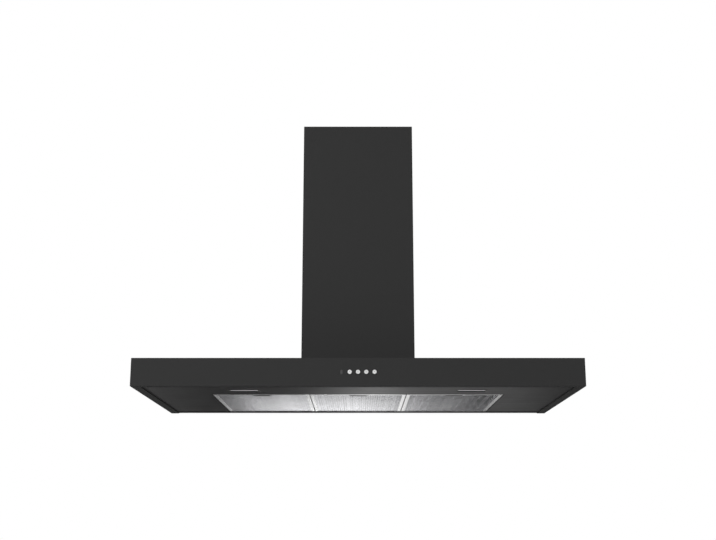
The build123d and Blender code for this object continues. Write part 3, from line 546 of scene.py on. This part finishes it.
@dataclass(frozen=True)
class TurnedMetal(Finish):
    """A small cap turned on a lathe, with rings around its own middle and a dished face whose colour is
    darkened as painted shade.
    """

    middle: tuple[float, float] = (0.0, 0.0)
    ring: float = 0.16 * MM
    hollow: float = 1.7 * MM
    wear: float = 1.2 * MM
    depth: float = 0.004 * MM
    metallic: float = 1.0

    def skin(self, recipe: Recipe) -> dict[str, Link]:
        """Make fine rings, and a rougher hollow in the middle whose colour is darkened as painted shade.

        Args:
            recipe: The material's nodes.

        Returns:
            The surface's sockets and what each gets.
        """
        x, _, z = recipe.axes()
        across = x - self.middle[0]
        up = z - self.middle[1]
        radius = (across * across + up * up) ** 0.5
        rings = 0.5 + 0.5 * recipe.maths("SINE", radius * (2 * math.pi / self.ring))
        worn = recipe.noise(self.wear, 3.0)
        hollow = 1 - recipe.step(radius, 0.8 * self.hollow, 1.1 * self.hollow)
        # The hollow's colour is halved as painted shade of the dished face; its added roughness is real.
        shade = (0.5 * rings + 0.5 * worn) * (1 - 0.5 * hollow)
        return {
            "Base Color": recipe.tint(shade, self.shade(0.62), self.shade(1.1)),
            "Roughness": self.roughness + worn.swing(0.1) + 0.12 * hollow,
            "Normal": recipe.bump(rings, self.depth),
        }


@dataclass(frozen=True)
class FrostedLens(Finish):
    """Opal plastic over rows of light chips, which show as paler spots."""

    middle: tuple[float, float] = (0.0, 0.0)
    chip_pitch: float = 9 * MM
    chip_radius: float = 3 * MM
    frost: float = 0.5 * MM
    depth: float = 0.006 * MM
    milk: float = 0.25
    scatter: float = 2 * MM

    def skin(self, recipe: Recipe) -> dict[str, Link]:
        """Make a milky face with soft spots at the chips' pitch.

        Args:
            recipe: The material's nodes.

        Returns:
            The surface's sockets and what each gets.
        """
        x, y, _ = recipe.axes()
        along = recipe.maths("PINGPONG", x - self.middle[0], self.chip_pitch / 2)
        across = recipe.maths("PINGPONG", y - self.middle[1], self.chip_pitch / 2)
        spot = 1 - recipe.step((along * along + across * across) ** 0.5, 0.0, self.chip_radius)
        frost = recipe.noise(self.frost)
        return {
            "Base Color": recipe.tint(0.7 * spot + 0.3 * frost, self.shade(0.93), self.shade(1.1)),
            "Roughness": self.roughness + frost.swing(0.08),
            "Normal": recipe.bump(frost, self.depth),
            "Subsurface Weight": self.milk,
            "Subsurface Radius": WHITE,
            "Subsurface Scale": self.scatter,
        }


@dataclass(frozen=True)
class SolderMask(Finish):
    """A circuit board: a glossy mask over tracks that show as paler lines."""

    track: float = 1.6 * MM
    pitch: float = 5 * MM
    run: float = 11 * MM
    link_pitch: float = 16 * MM
    link: float = 0.6 * MM
    depth: float = 0.04 * MM

    def skin(self, recipe: Recipe) -> dict[str, Link]:
        """Make tracks that run along the board and break off here and there.

        Args:
            recipe: The material's nodes.

        Returns:
            The surface's sockets and what each gets.
        """
        x, _, z = recipe.axes()
        row = recipe.maths("PINGPONG", z, self.pitch / 2)
        broken = recipe.step(recipe.noise(self.run, 0.0, Along.WIDTH), 0.42, 0.46)
        column = recipe.maths("PINGPONG", x, self.link_pitch)
        track = (1 - recipe.step(row, 0.4 * self.track, 0.5 * self.track)) * broken
        link = 1 - recipe.step(column, 0.5 * self.link, self.link)
        copper = recipe.maths("MAXIMUM", track, link)
        return {
            "Base Color": recipe.tint(copper, self.colour, self.shade(2.1)),
            "Roughness": self.roughness + 0.1 * copper,
            "Normal": recipe.bump(copper, self.depth),
        }


COAT = PowderCoat("matt_black_powder", grey(44), roughness=0.66, specular=0.1)
TRAY_COAT = BrushedCoat("satin_black_underside", grey(36), roughness=0.4, specular=0.08)
ZINC = Galvanised("galvanised_sheet", grey(186), roughness=0.42)
NET_METAL = CastMetal("expanded_aluminium", srgb(228, 228, 230), roughness=0.2)
SPRING = RolledMetal("spring_strip", grey(176), roughness=0.3)
SCREW = CastMetal("zinc_plated_screw", srgb(196, 198, 202), roughness=0.3, grain=0.3 * MM)
SHAFT = RolledMetal("ground_shaft", grey(188), roughness=0.24, along=Along.HEIGHT)
BRONZE = CastMetal("sintered_bronze", srgb(176, 138, 84), roughness=0.5, grain=0.25 * MM)
MOTOR_PAINT = PowderCoat("motor_enamel", grey(104), roughness=0.42, metallic=0.3, grain=1.4 * MM)
CAN = RolledMetal("drawn_can", grey(206), roughness=0.28, along=Along.DEPTH)
BLACK_PLASTIC = MouldedPlastic("black_moulding", grey(38), roughness=0.52)
GREY_PLASTIC = MouldedPlastic("grey_moulding", grey(128), roughness=0.5)
DARK_PLASTIC = MouldedPlastic("latch_moulding", grey(52), roughness=0.48)
WHEEL_PLASTIC = MouldedPlastic("wheel_moulding", grey(96), roughness=0.45)
PILOT = MouldedPlastic("smoked_pilot_lens", grey(66), roughness=0.25, specular=0.2, depth=0.002 * MM)
RUBBER = MouldedPlastic("black_rubber", grey(30), roughness=0.75, specular=0.25)
BOARD = SolderMask("green_solder_mask", srgb(24, 84, 48), roughness=0.3)


def dress(node: bpy.types.Object, finish: Finish) -> None:
    """Give every material slot of a node one finish."""
    for slot in node.material_slots:
        slot.material = finish.material()


def worn(**finishes: Finish) -> dict[str, Finish]:
    """Return a field that holds the finish of each named node."""
    return field(default_factory=lambda: dict(finishes))


# ---------------- meshes
@dataclass(frozen=True)
class Area:
    """A rectangle in plan."""

    west: float
    east: float
    south: float
    north: float

    def holds(self, x: float, y: float) -> bool:
        """Tell whether a point lies inside."""
        return self.west < x < self.east and self.south < y < self.north


@dataclass
class Shape:
    """Points and faces, gathered until they become one mesh."""

    points: list[Vector] = field(default_factory=list)
    faces: list[tuple[int, ...]] = field(default_factory=list)

    def add(self, points: Sequence[Vector], faces: Sequence[tuple[int, ...]]) -> None:
        """Add points and faces.

        Args:
            points: The new points.
            faces: The new faces, whose numbers count from the first of those points.
        """
        start = len(self.points)
        self.points.extend(points)
        self.faces.extend(tuple(start + corner for corner in face) for face in faces)

    def loft(self, rings: Sequence[Sequence[Vector]], closed_ends: bool = True) -> None:
        """Join rings into a tube.

        Args:
            rings: The rings, with as many points each.
            closed_ends: Whether the first and the last ring get a face.
        """
        count = len(rings[0])
        faces = []
        for ring in range(len(rings) - 1):
            for corner in range(count):
                near = ring * count + corner
                side = ring * count + (corner + 1) % count
                faces.append((near, side, side + count, near + count))
        if closed_ends:
            last = (len(rings) - 1) * count
            faces.append(tuple(reversed(range(count))))
            faces.append(tuple(range(last, last + count)))
        self.add([point for ring in rings for point in ring], faces)

    def piece(self, name: str, finish: Finish, smooth: bool = True) -> bpy.types.Object:
        """Make the object.

        Args:
            name: The piece's name.
            finish: Its finish.
            smooth: Whether it is shaded smooth, with sharp edges kept.

        Returns:
            The new object, linked to the scene.
        """
        mesh = bpy.data.meshes.new(name)
        mesh.from_pydata(self.points, [], self.faces)
        mesh.materials.append(finish.material())
        made = bpy.data.objects.new(name, mesh)
        bpy.context.scene.collection.objects.link(made)
        tidy = bmesh.new()
        tidy.from_mesh(mesh)
        bmesh.ops.recalc_face_normals(tidy, faces=tidy.faces)
        for face in tidy.faces:
            face.smooth = smooth
        if smooth:
            for edge in tidy.edges:
                edge.smooth = len(edge.link_faces) == 2 and edge.calc_face_angle(math.pi) < SHARP_EDGE
        tidy.to_mesh(mesh)
        tidy.free()
        return made


def islands(node: bpy.types.Object) -> list[tuple[Vector, Vector]]:
    """Find the separate solids in a node.

    Args:
        node: A node of several solids.

    Returns:
        The lowest and highest corner of each solid, in order of their places.
    """
    work = bmesh.new()
    work.from_mesh(node.data)
    bmesh.ops.remove_doubles(work, verts=work.verts, dist=SAME_POINT)
    left = set(work.verts)
    boxes = []
    while left:
        heap = [left.pop()]
        found = []
        while heap:
            vert = heap.pop()
            found.append(vert.co.copy())
            for edge in vert.link_edges:
                other = edge.other_vert(vert)
                if other in left:
                    left.remove(other)
                    heap.append(other)
        low = Vector([min(point[axis] for point in found) for axis in range(3)])
        high = Vector([max(point[axis] for point in found) for axis in range(3)])
        boxes.append((low, high))
    work.free()
    return sorted(boxes, key=lambda box: tuple(round(part, SORT_PLACES) for part in box[0]))


@dataclass
class CrossScrew:
    """A pan-head screw with a cross recess and a cut thread.

    Fields:
        flat: The share of the head's radius that its flat top has.
        wall: The share of the head's height that its upright wall has.
        dome_turns: The angles at which the head's rounded edge is drawn.
        taper: The share of the recess's reach that is left at its floor.
    """

    head_radius: float = 3.6 * MM
    head_height: float = 2.4 * MM
    flat: float = 0.72
    wall: float = 0.35
    dome_turns: tuple[float, ...] = (1.25, 0.9, 0.5)
    shank_radius: float = 2.0 * MM
    thread_pitch: float = 0.8 * MM
    thread_depth: float = 0.35 * MM
    recess_reach: float = 2.0 * MM
    recess_arm: float = 0.45 * MM
    recess_depth: float = 1.4 * MM
    taper: float = 0.55
    steps: int = 24

    def cross(self, scale: float, height: float, place: Matrix) -> list[Vector]:
        """Draw the recess at one height.

        Args:
            scale: The share of its reach that it has there.
            height: The height over the head's seat.
            place: The middle of the head's seat.

        Returns:
            Its twelve corners.
        """
        arm = self.recess_arm
        reach = self.recess_reach * scale
        quarter = [(reach, -arm), (reach, arm), (arm, arm)]
        corners = []
        for turn in range(4):
            spin = Matrix.Rotation(turn * math.pi / 2, 4, "Z")
            corners += [place @ (spin @ Vector((x, y, height))) for x, y in quarter]
        return corners

    def profile(self, length: float) -> list[tuple[float, float]]:
        """Draw the screw's outline from the shank's end up to the head's rounded edge.

        Args:
            length: How far the shank reaches below the head's seat.

        Returns:
            Each point's distance from the axis and its height over the seat.
        """
        core = self.shank_radius - self.thread_depth
        thread = []
        for turn in range(int(length / self.thread_pitch)):
            low = -length + turn * self.thread_pitch
            thread.append((core, low))
            thread.append((self.shank_radius, low + self.thread_pitch / 2))
        flat = self.flat * self.head_radius
        dome = [
            (
                flat + (self.head_radius - flat) * math.sin(turn),
                self.head_height * (self.wall + (1 - self.wall) * math.cos(turn)),
            )
            for turn in self.dome_turns
        ]
        return [*thread, (core, 0.0), (self.head_radius, 0.0), *dome]

    def ring(self, radius: float, height: float, place: Matrix) -> list[Vector]:
        """Draw one ring round the axis.

        Args:
            radius: Its radius.
            height: Its height over the head's seat.
            place: The middle of the head's seat.

        Returns:
            Its points.
        """
        turns = [2 * math.pi * step / self.steps for step in range(self.steps)]
        return [place @ Vector((radius * math.cos(turn), radius * math.sin(turn), height)) for turn in turns]

    def build(self, shape: Shape, place: Matrix, length: float) -> None:
        """Add one screw whose head stands on the place's plane and whose shank goes down.

        Args:
            shape: What it is added to.
            place: The middle of the head's seat, with Z towards the head.
            length: How far the shank reaches below the seat.
        """
        top = self.ring(self.flat * self.head_radius, self.head_height, place)
        rings = [self.ring(radius, height, place) for radius, height in self.profile(length)]
        shape.loft([*rings, top], closed_ends=False)
        shape.add(rings[0], [tuple(reversed(range(self.steps)))])
        mouth = self.cross(1.0, self.head_height, place)
        floor = self.cross(self.taper, self.head_height - self.recess_depth, place)
        shape.add([*top, *mouth], tessellate_polygon([top, mouth]))
        shape.loft([mouth, floor], closed_ends=False)
        shape.add(floor, tessellate_polygon([floor]))


class Facing(Enum):
    """The way that a screw's head faces."""

    UP = Matrix.Identity(4)
    DOWN = Matrix.Rotation(math.pi, 4, "X")
    RIGHT = Matrix.Rotation(math.pi / 2, 4, "Y")

    def seat(self, low: Vector, high: Vector, head: float) -> tuple[Matrix, float]:
        """Find a screw's place from its box.

        Args:
            low: The box's lowest corner.
            high: The box's highest corner.
            head: The height of the screw's head.

        Returns:
            The middle of the head's seat, with Z towards the head, and the shank's length.
        """
        middle = (low + high) / 2
        if self is Facing.UP:
            middle.z = high.z - head
            return Matrix.Translation(middle) @ self.value, middle.z - low.z
        if self is Facing.DOWN:
            middle.z = low.z + head
            return Matrix.Translation(middle) @ self.value, high.z - middle.z
        middle.x = high.x - head
        return Matrix.Translation(middle) @ self.value, middle.x - low.x


# ---------------- sub-assemblies
@dataclass
class Assembly:
    """A group of nodes that are dressed together."""

    nodes: Mapping[str, bpy.types.Object]
    finishes: dict[str, Finish] = worn()

    def build(self) -> list[bpy.types.Object]:
        """Build the pieces that the nodes need beside them."""
        return []

    def dress(self) -> None:
        """Give each node its finish."""
        for name, finish in self.finishes.items():
            dress(self.nodes[name], finish)

    def make(self) -> None:
        """Dress the nodes, build the pieces and report them."""
        self.dress()
        for piece in self.build():
            LOG.info("%s: %s, %d faces", type(self).__name__, piece.name, len(piece.data.polygons))
        LOG.info("%s: %d nodes dressed", type(self).__name__, len(self.finishes))

    def screws(self, node: str, facing: Facing, name: str) -> bpy.types.Object:
        """Replace a node of plain screws by finished ones in the same places.

        Args:
            node: The node's name.
            facing: The way that the screws' heads face.
            name: The new piece's name.

        Returns:
            The new piece.
        """
        shape = Shape()
        screw = CrossScrew()
        for low, high in islands(self.nodes[node]):
            place, length = facing.seat(low, high, screw.head_height)
            screw.build(shape, place, length)
        piece = shape.piece(name, SCREW)
        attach(piece, self.nodes[node]["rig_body"])
        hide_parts(node)
        return piece


@dataclass
class Canopy(Assembly):
    """The folded shell, its back, the filters' ledge and the three panels of the underside."""

    finishes: dict[str, Finish] = worn(
        canopy_shell=COAT,
        canopy_back=ZINC,
        filter_ledge=TRAY_COAT,
        underside_tray=TRAY_COAT,
        tray_side_left=TRAY_COAT,
        tray_side_right=TRAY_COAT,
    )

    def build(self) -> list[bpy.types.Object]:
        """Build the screws that hold the chimney and the blower box to the canopy."""
        return [self.screws("foot_screws", Facing.DOWN, "foot_screw_set")]


@dataclass
class Lamps(Assembly):
    """Two recessed lamps with frosted lenses, their clips and their driver."""

    finishes: dict[str, Finish] = worn(led_driver=GREY_PLASTIC, lamp_clips=SPRING)

    def dress(self) -> None:
        """Give each lens spots around its own middle."""
        for side in (Side.LEFT, Side.RIGHT):
            low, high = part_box(f"lamp_lens_{side}")
            middle = ((low.x + high.x) / 2, (low.y + high.y) / 2)
            self.finishes[f"lamp_housing_{side}"] = BLACK_PLASTIC
            self.finishes[f"lamp_lens_{side}"] = FrostedLens(
                f"frosted_lens_{side}", grey(240), roughness=0.5, middle=middle
            )
        super().dress()


@dataclass
class Controls(Assembly):
    """Four turned push buttons, the pilot lens and the switch block behind them."""

    finishes: dict[str, Finish] = worn(pilot_lens=PILOT, switch_block=BLACK_PLASTIC, switch_board=BOARD)
    buttons: tuple[str, ...] = ("button_light", "button_low", "button_medium", "button_high")

    def dress(self) -> None:
        """Give each button rings around its own middle."""
        for name in self.buttons:
            low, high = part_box(name)
            middle = ((low.x + high.x) / 2, (low.z + high.z) / 2)
            self.finishes[name] = TurnedMetal(f"turned_{name}", grey(200), roughness=0.34, middle=middle)
        super().dress()


@dataclass(frozen=True)
class ExpandedNet:
    """A sheet of slit and stretched aluminium, one layer of a filter.

    Fields:
        twist: How far stretching has turned each strand on its edge, in degrees.
    """

    cell: float = 12 * MM
    pitch: float = 5.5 * MM
    strand: float = 0.9 * MM
    sheet: float = 0.35 * MM
    twist: float = 35.0

    def weave(self, shape: Shape, area: Area, hole: Area, height: Callable[[float], float]) -> None:
        """Add the net's strands, row by row.

        Args:
            shape: What they are added to.
            area: The net's outline.
            hole: The latch's place, where the net is cut away.
            height: The height of the net's middle over a place along the hood.
        """
        rows = int((area.north - area.south) / self.pitch)
        columns = int((area.east - area.west) / (self.cell / 2))
        for row in range(rows):
            centre = area.south + (row + 0.5) * self.pitch
            path: list[Vector] = []
            for column in range(columns + 1):
                x = area.west + column * self.cell / 2
                y = centre + (1 if (row + column) % 2 else -1) * (self.pitch - self.strand) / 2
                if x > area.east or hole.holds(x, y):
                    self.strand_along(shape, path)
                    path = []
                    continue
                path.append(Vector((x, y, height(x))))
            self.strand_along(shape, path)

    def rise(self) -> float:
        """Return half the height of one turned strand."""
        turn = math.radians(self.twist)
        return (self.strand * math.sin(turn) + self.sheet * math.cos(turn)) / 2

    def strand_along(self, shape: Shape, path: Sequence[Vector]) -> None:
        """Add one strand of a flat, turned section.

        Args:
            shape: What it is added to.
            path: The points of its middle line; nothing is added for fewer than two.
        """
        if len(path) < 2:
            return
        spin = Matrix.Rotation(math.radians(-self.twist), 3, "X")
        wide = spin @ Vector((0, self.strand / 2, 0))
        thick = spin @ Vector((0, 0, self.sheet / 2))
        rings = [[p - wide - thick, p + wide - thick, p + wide + thick, p - wide + thick] for p in path]
        shape.loft(rings)


@dataclass
class Filters(Assembly):
    """Three grease filters, each a rolled frame, a stack of nets and a sliding latch."""

    sheet: float = 1.0 * MM
    gap: float = 0.3 * MM
    waves: int = 14
    outer: ExpandedNet = ExpandedNet()
    inner: ExpandedNet = ExpandedNet(cell=11 * MM, pitch=5 * MM, strand=1.1 * MM)

    def dress(self) -> None:
        """Give each frame lines and mitres of its own."""
        for side in Side:
            low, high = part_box(f"filter_frame_{side}")
            net_low, net_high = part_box(f"filter_mesh_{side}")
            front = net_low.y - self.sheet - self.gap
            rear = net_high.y + self.sheet + self.gap
            self.finishes[f"filter_frame_{side}"] = FrameRail(
                f"frame_rail_{side}",
                grey(232),
                roughness=0.2,
                middle=((low.x + high.x) / 2, (front + rear) / 2),
                half=((high.x - low.x) / 2, (rear - front) / 2),
            )
            self.finishes[f"latch_housing_{side}"] = DARK_PLASTIC
            self.finishes[f"latch_handle_{side}"] = DARK_PLASTIC
        super().dress()

    def build(self) -> list[bpy.types.Object]:
        """Build each filter's nets in the space of its plain one."""
        return [self.net_stack(side) for side in Side]

    def net_stack(self, side: Side) -> bpy.types.Object:
        """Build one filter's outer nets and the crimped layers between them.

        Args:
            side: Where the filter stands.

        Returns:
            The nets as one piece.
        """
        low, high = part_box(f"filter_mesh_{side}")
        latch_low, latch_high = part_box(f"latch_housing_{side}")
        area = Area(low.x, high.x, low.y, high.y)
        west, east, north = latch_low.x - self.gap, latch_high.x + self.gap, latch_high.y + self.gap
        hole = Area(west, east, low.y - self.sheet, north)
        floor = low.z + self.outer.rise()
        roof = high.z - self.outer.rise()
        middle = (floor + roof) / 2
        swing = (roof - floor) / 2 - self.outer.rise() - self.inner.rise()
        wave = 2 * math.pi * self.waves / (high.x - low.x)
        shape = Shape()
        self.outer.weave(shape, area, hole, lambda x: floor)
        self.inner.weave(shape, area, hole, lambda x: middle + swing * math.sin(wave * (x - low.x)))
        self.inner.weave(shape, area, hole, lambda x: middle + swing * math.cos(wave * (x - low.x)))
        self.outer.weave(shape, area, hole, lambda x: roof)
        piece = shape.piece(f"net_stack_{side}", NET_METAL, smooth=False)
        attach(piece, f"filter_{side}")
        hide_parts(f"filter_mesh_{side}")
        return piece


@dataclass
class Blower(Assembly):
    """The galvanised box with the spiral casing, the wheel and its motor."""

    finishes: dict[str, Finish] = worn(
        blower_box=ZINC,
        outlet_plate=ZINC,
        scroll_left=GREY_PLASTIC,
        scroll_right=GREY_PLASTIC,
        blower_wheel=WHEEL_PLASTIC,
        motor=MOTOR_PAINT,
        motor_shaft=SHAFT,
        motor_bushes=BRONZE,
        motor_spider=ZINC,
        motor_grommets=RUBBER,
        motor_capacitor=CAN,
        capacitor_clamp=BLACK_PLASTIC,
    )

    def build(self) -> list[bpy.types.Object]:
        """Build the screws of the motor's bracket and of the outlet plate."""
        return [
            self.screws("motor_screws", Facing.RIGHT, "motor_screw_set"),
            self.screws("plate_screws", Facing.UP, "plate_screw_set"),
        ]


@dataclass
class Outlet(Assembly):
    """The duct collar with its two flaps, and the electronics box beside it."""

    finishes: dict[str, Finish] = worn(
        duct_collar=BLACK_PLASTIC,
        flap_pin=SHAFT,
        flap_front=GREY_PLASTIC,
        flap_rear=GREY_PLASTIC,
        electronics_box=BLACK_PLASTIC,
        electronics_lid=BLACK_PLASTIC,
        cable_gland=GREY_PLASTIC,
        gland_locknut=GREY_PLASTIC,
    )


@dataclass
class ChimneyCovers(Assembly):
    """The two telescopic covers, the wall bracket of the upper one and its screws."""

    finishes: dict[str, Finish] = worn(
        lower_chimney=COAT,
        upper_chimney=COAT,
        chimney_bracket=ZINC,
        bracket_screws=SCREW,
    )


# ---------------- studio
def stage_sheet(name: str, rim: Sequence[Point], material: bpy.types.Material) -> bpy.types.Object:
    """Add one flat sheet to the studio.

    Args:
        name: The sheet's name.
        rim: The points of its rim.
        material: Its material.

    Returns:
        The sheet, which isn't part of the hood.
    """
    mesh = bpy.data.meshes.new(name)
    mesh.from_pydata(rim, [], [tuple(range(len(rim)))])
    mesh.materials.append(material)
    sheet = bpy.data.objects.new(name, mesh)
    bpy.context.scene.collection.objects.link(sheet)
    return sheet


@dataclass(frozen=True)
class GlowCard:
    """A card that gloss alone sees, with soft streaks of light across the hood's width.

    Fields:
        glow: One streak's stops, each a place along x from its middle in metres and a level.
        streaks: Where along x each streak has its middle.
        dusk: The places along y from which and to which a lying card grows to its full
            level, if it does.
        dusk_level: The share of its level that it has before dusk.
    """

    name: str
    middle: Point
    half: tuple[float, float]
    lying: bool
    glow: tuple[tuple[float, float], ...]
    streaks: tuple[float, ...] = (0.0,)
    dusk: tuple[float, float] | None = None
    dusk_level: float = 0.42

    def rim(self) -> list[Vector]:
        """Lay out the card, upright or lying flat.

        Returns:
            Its four corners.
        """
        wide, deep = self.half
        across = Vector((wide, 0.0, 0.0))
        along = Vector((0.0, deep, 0.0)) if self.lying else Vector((0.0, 0.0, deep))
        middle = Vector(self.middle)
        return [middle + a * across + b * along for a, b in ((-1, -1), (1, -1), (1, 1), (-1, 1))]

    def material(self) -> bpy.types.Material:
        """Make the card's glow, streak by streak.

        Returns:
            The card's material.
        """
        made, recipe = blank_material(self.name)
        x, y, _ = recipe.axes()
        wide = self.half[0]
        place = (x - self.middle[0]) * (0.5 / wide) + 0.5
        share: Term = 1.0
        if self.dusk is not None:
            share = self.dusk_level + (1 - self.dusk_level) * recipe.step(y, *self.dusk)
        stops = [
            (0.5 + 0.5 * (streak + stop) / wide, (level, level, level))
            for streak in self.streaks
            for stop, level in self.glow
        ]
        colour = recipe.node("ValToRGB", {"stops": stops}, {0: place}).outputs[0]
        shaded = recipe.node("VectorMath", {"operation": "SCALE"}, {0: colour, "Scale": share}).outputs[0]
        recipe.close("OutputMaterial", recipe.node("Emission", inputs={"Color": shaded, "Strength": 1.0}))
        return made

    def hang(self) -> None:
        """Hang the card where gloss alone sees it."""
        card = stage_sheet(self.name, self.rim(), self.material())
        card.visible_camera = False
        card.visible_diffuse = False
        card.visible_shadow = False
        card.visible_transmission = False


@dataclass(frozen=True)
class Softbox:
    """A soft lamp that points at the hood; its power is in watts."""

    name: str
    place: Point
    size: tuple[float, float]
    power: float
    aim: Point = (0.0, -0.3, 0.1)

    def hang(self) -> None:
        """Hang the lamp in its place."""
        lamp = bpy.data.lights.new(self.name, "AREA")
        lamp.shape = "RECTANGLE"
        lamp.size, lamp.size_y = self.size
        lamp.energy = self.power
        stand = bpy.data.objects.new(self.name, lamp)
        stand.location = self.place
        way = Vector(self.aim) - Vector(self.place)
        stand.rotation_euler = way.to_track_quat("-Z", "Y").to_euler()
        bpy.context.scene.collection.objects.link(stand)


# What the filters' nets, the underside's enamel and the filters' rails see in their gloss.
METAL_GLOW = ((-0.5, 0.15), (-0.35, 1.25), (-0.05, 1.65), (0.05, 1.65), (0.2, 0.62), (0.5, 0.0))
ENAMEL_GLOW = ((-0.9, 0.3), (-0.6, 0.0), (-0.17, 0.0), (0.08, 1.75), (0.2, 0.6), (0.6, 0.58), (0.85, 0.15))
RAIL_GLOW = ((-0.6, 0.6), (-0.28, 1.3), (-0.16, 2.1), (0.0, 1.2), (0.17, 0.95), (0.45, 0.0))
NO_GLOW = ((-1.0, 0.02), (1.0, 0.02))


@dataclass
class Studio:
    """The floor, the soft lights and the camera, which stands low in front of the hood.

    Fields:
        tilt: How far the camera looks up, in degrees.
        lens: The lens's focal length and film the film's width, in millimetres.
        rise: How far the film is shifted, as a share of its width.
        fade: The shares of the floor's radius between which it fades to white.
        ambient: The level of the light from all round.
    """

    eye: Point = (0.0, -2.662, -0.350)
    tilt: float = 11.11
    lens: float = 45.71
    film: float = 36.0
    rise: float = 0.12
    floor_drop: float = 2.4
    floor_radius: float = 14.0
    floor_colour: Colour = (0.86, 0.86, 0.86)
    floor_steps: int = 96
    fade: tuple[float, float] = (0.25, 0.8)
    ambient: float = 0.4
    cards: tuple[GlowCard, ...] = (
        GlowCard("back_card", (0.0, 1.0, -0.525), (2.0, 0.625), False, ENAMEL_GLOW),
        GlowCard("rail_card", (0.0, 0.95, -0.16), (2.0, 0.042), False, RAIL_GLOW),
        GlowCard("net_card", (0.0, 0.16, -0.8), (1.6, 0.32), True, METAL_GLOW, (-0.51, 0.51), (-0.1, 0.35)),
        GlowCard("black_flag", (0.0, 0.95, -1.0), (2.5, 1.25), True, NO_GLOW),
    )
    softboxes: tuple[Softbox, ...] = (
        Softbox("key_softbox", (-4.0, -7.2, 2.0), (4.0, 3.0), 405.0),
        Softbox("fill_softbox", (4.2, -6.0, 2.0), (3.2, 3.2), 35.0),
    )

    def build(self) -> None:
        """Set up everything around the hood."""
        bpy.context.scene.view_settings.view_transform = "Standard"
        self.light_world()
        self.lay_floor()
        for fitting in (*self.cards, *self.softboxes):
            fitting.hang()
        self.place_camera()

    def light_world(self) -> None:
        """Light the hood softly from all round."""
        world = bpy.data.worlds.new("white_studio")
        world.use_nodes = True
        bpy.context.scene.world = world
        recipe = Recipe(world.node_tree)
        sockets = {"Color": WHITE, "Strength": self.surround(recipe)}
        recipe.close("OutputWorld", recipe.node("Background", inputs=sockets))

    def surround(self, recipe: Recipe) -> Value:
        """Make the level of the white that stands round the hood.

        Args:
            recipe: The nodes of the world or of a material.

        Returns:
            A level that is white to the eye and in gloss, and dimmer as light.
        """
        ray = recipe.node("LightPath")
        seen = Value(recipe, ray.outputs["Is Camera Ray"])
        for kind in ("Is Glossy Ray", "Is Transmission Ray"):
            seen = recipe.maths("MAXIMUM", seen, Value(recipe, ray.outputs[kind]))
        return self.ambient + (1 - self.ambient) * seen

    def lay_floor(self) -> None:
        """Lay a pale round floor that keeps the hood's shadow and fades to white far off.

        From below it is clear, so that an eye under it still sees the hood.
        """
        turns = [2 * math.pi * step / self.floor_steps for step in range(self.floor_steps)]
        radius = self.floor_radius
        rim = [(radius * math.cos(turn), radius * math.sin(turn), -self.floor_drop) for turn in turns]
        material, recipe = blank_material("pale_floor")
        x, y, _ = recipe.axes()
        start, end = self.fade
        far = recipe.step((x * x + y * y) ** 0.5, start * radius, end * radius)
        matt = recipe.node("BsdfDiffuse", inputs={"Color": self.floor_colour})
        sockets = {"Color": WHITE, "Strength": self.surround(recipe)}
        white = recipe.node("Emission", inputs=sockets)
        top = recipe.node("MixShader", inputs={0: far, 1: matt.outputs[0], 2: white.outputs[0]})
        below = recipe.node("NewGeometry").outputs["Backfacing"]
        clear = recipe.node("BsdfTransparent")
        sides = {0: below, 1: top.outputs[0], 2: clear.outputs[0]}
        recipe.close("OutputMaterial", recipe.node("MixShader", inputs=sides))
        stage_sheet("floor", rim, material)

    def place_camera(self) -> None:
        """Place the camera at the photograph's viewing angle."""
        camera = bpy.data.cameras.new("camera")
        camera.lens = self.lens
        camera.sensor_width = self.film
        camera.shift_y = self.rise
        stand = bpy.data.objects.new("camera", camera)
        stand.location = self.eye
        stand.rotation_euler = (math.radians(90 + self.tilt), 0.0, 0.0)
        bpy.context.scene.collection.objects.link(stand)
        bpy.context.scene.camera = stand


def corners(bounds: Sequence[Sequence[float]]) -> list[list[float]]:
    """Return a box as plain lists."""
    return [[float(part) for part in corner] for corner in bounds]


def main() -> None:
    """Load the model, dress it, build its pieces and set up the studio."""
    logging.basicConfig(level=logging.INFO, format="%(name)s: %(message)s")
    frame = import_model()
    nodes = frame["nodes"]
    for group in (Canopy, Lamps, Controls, Filters, Blower, Outlet, ChimneyCovers):
        group(nodes).make()
    Studio().build()


if __name__ == "__main__":
    main()
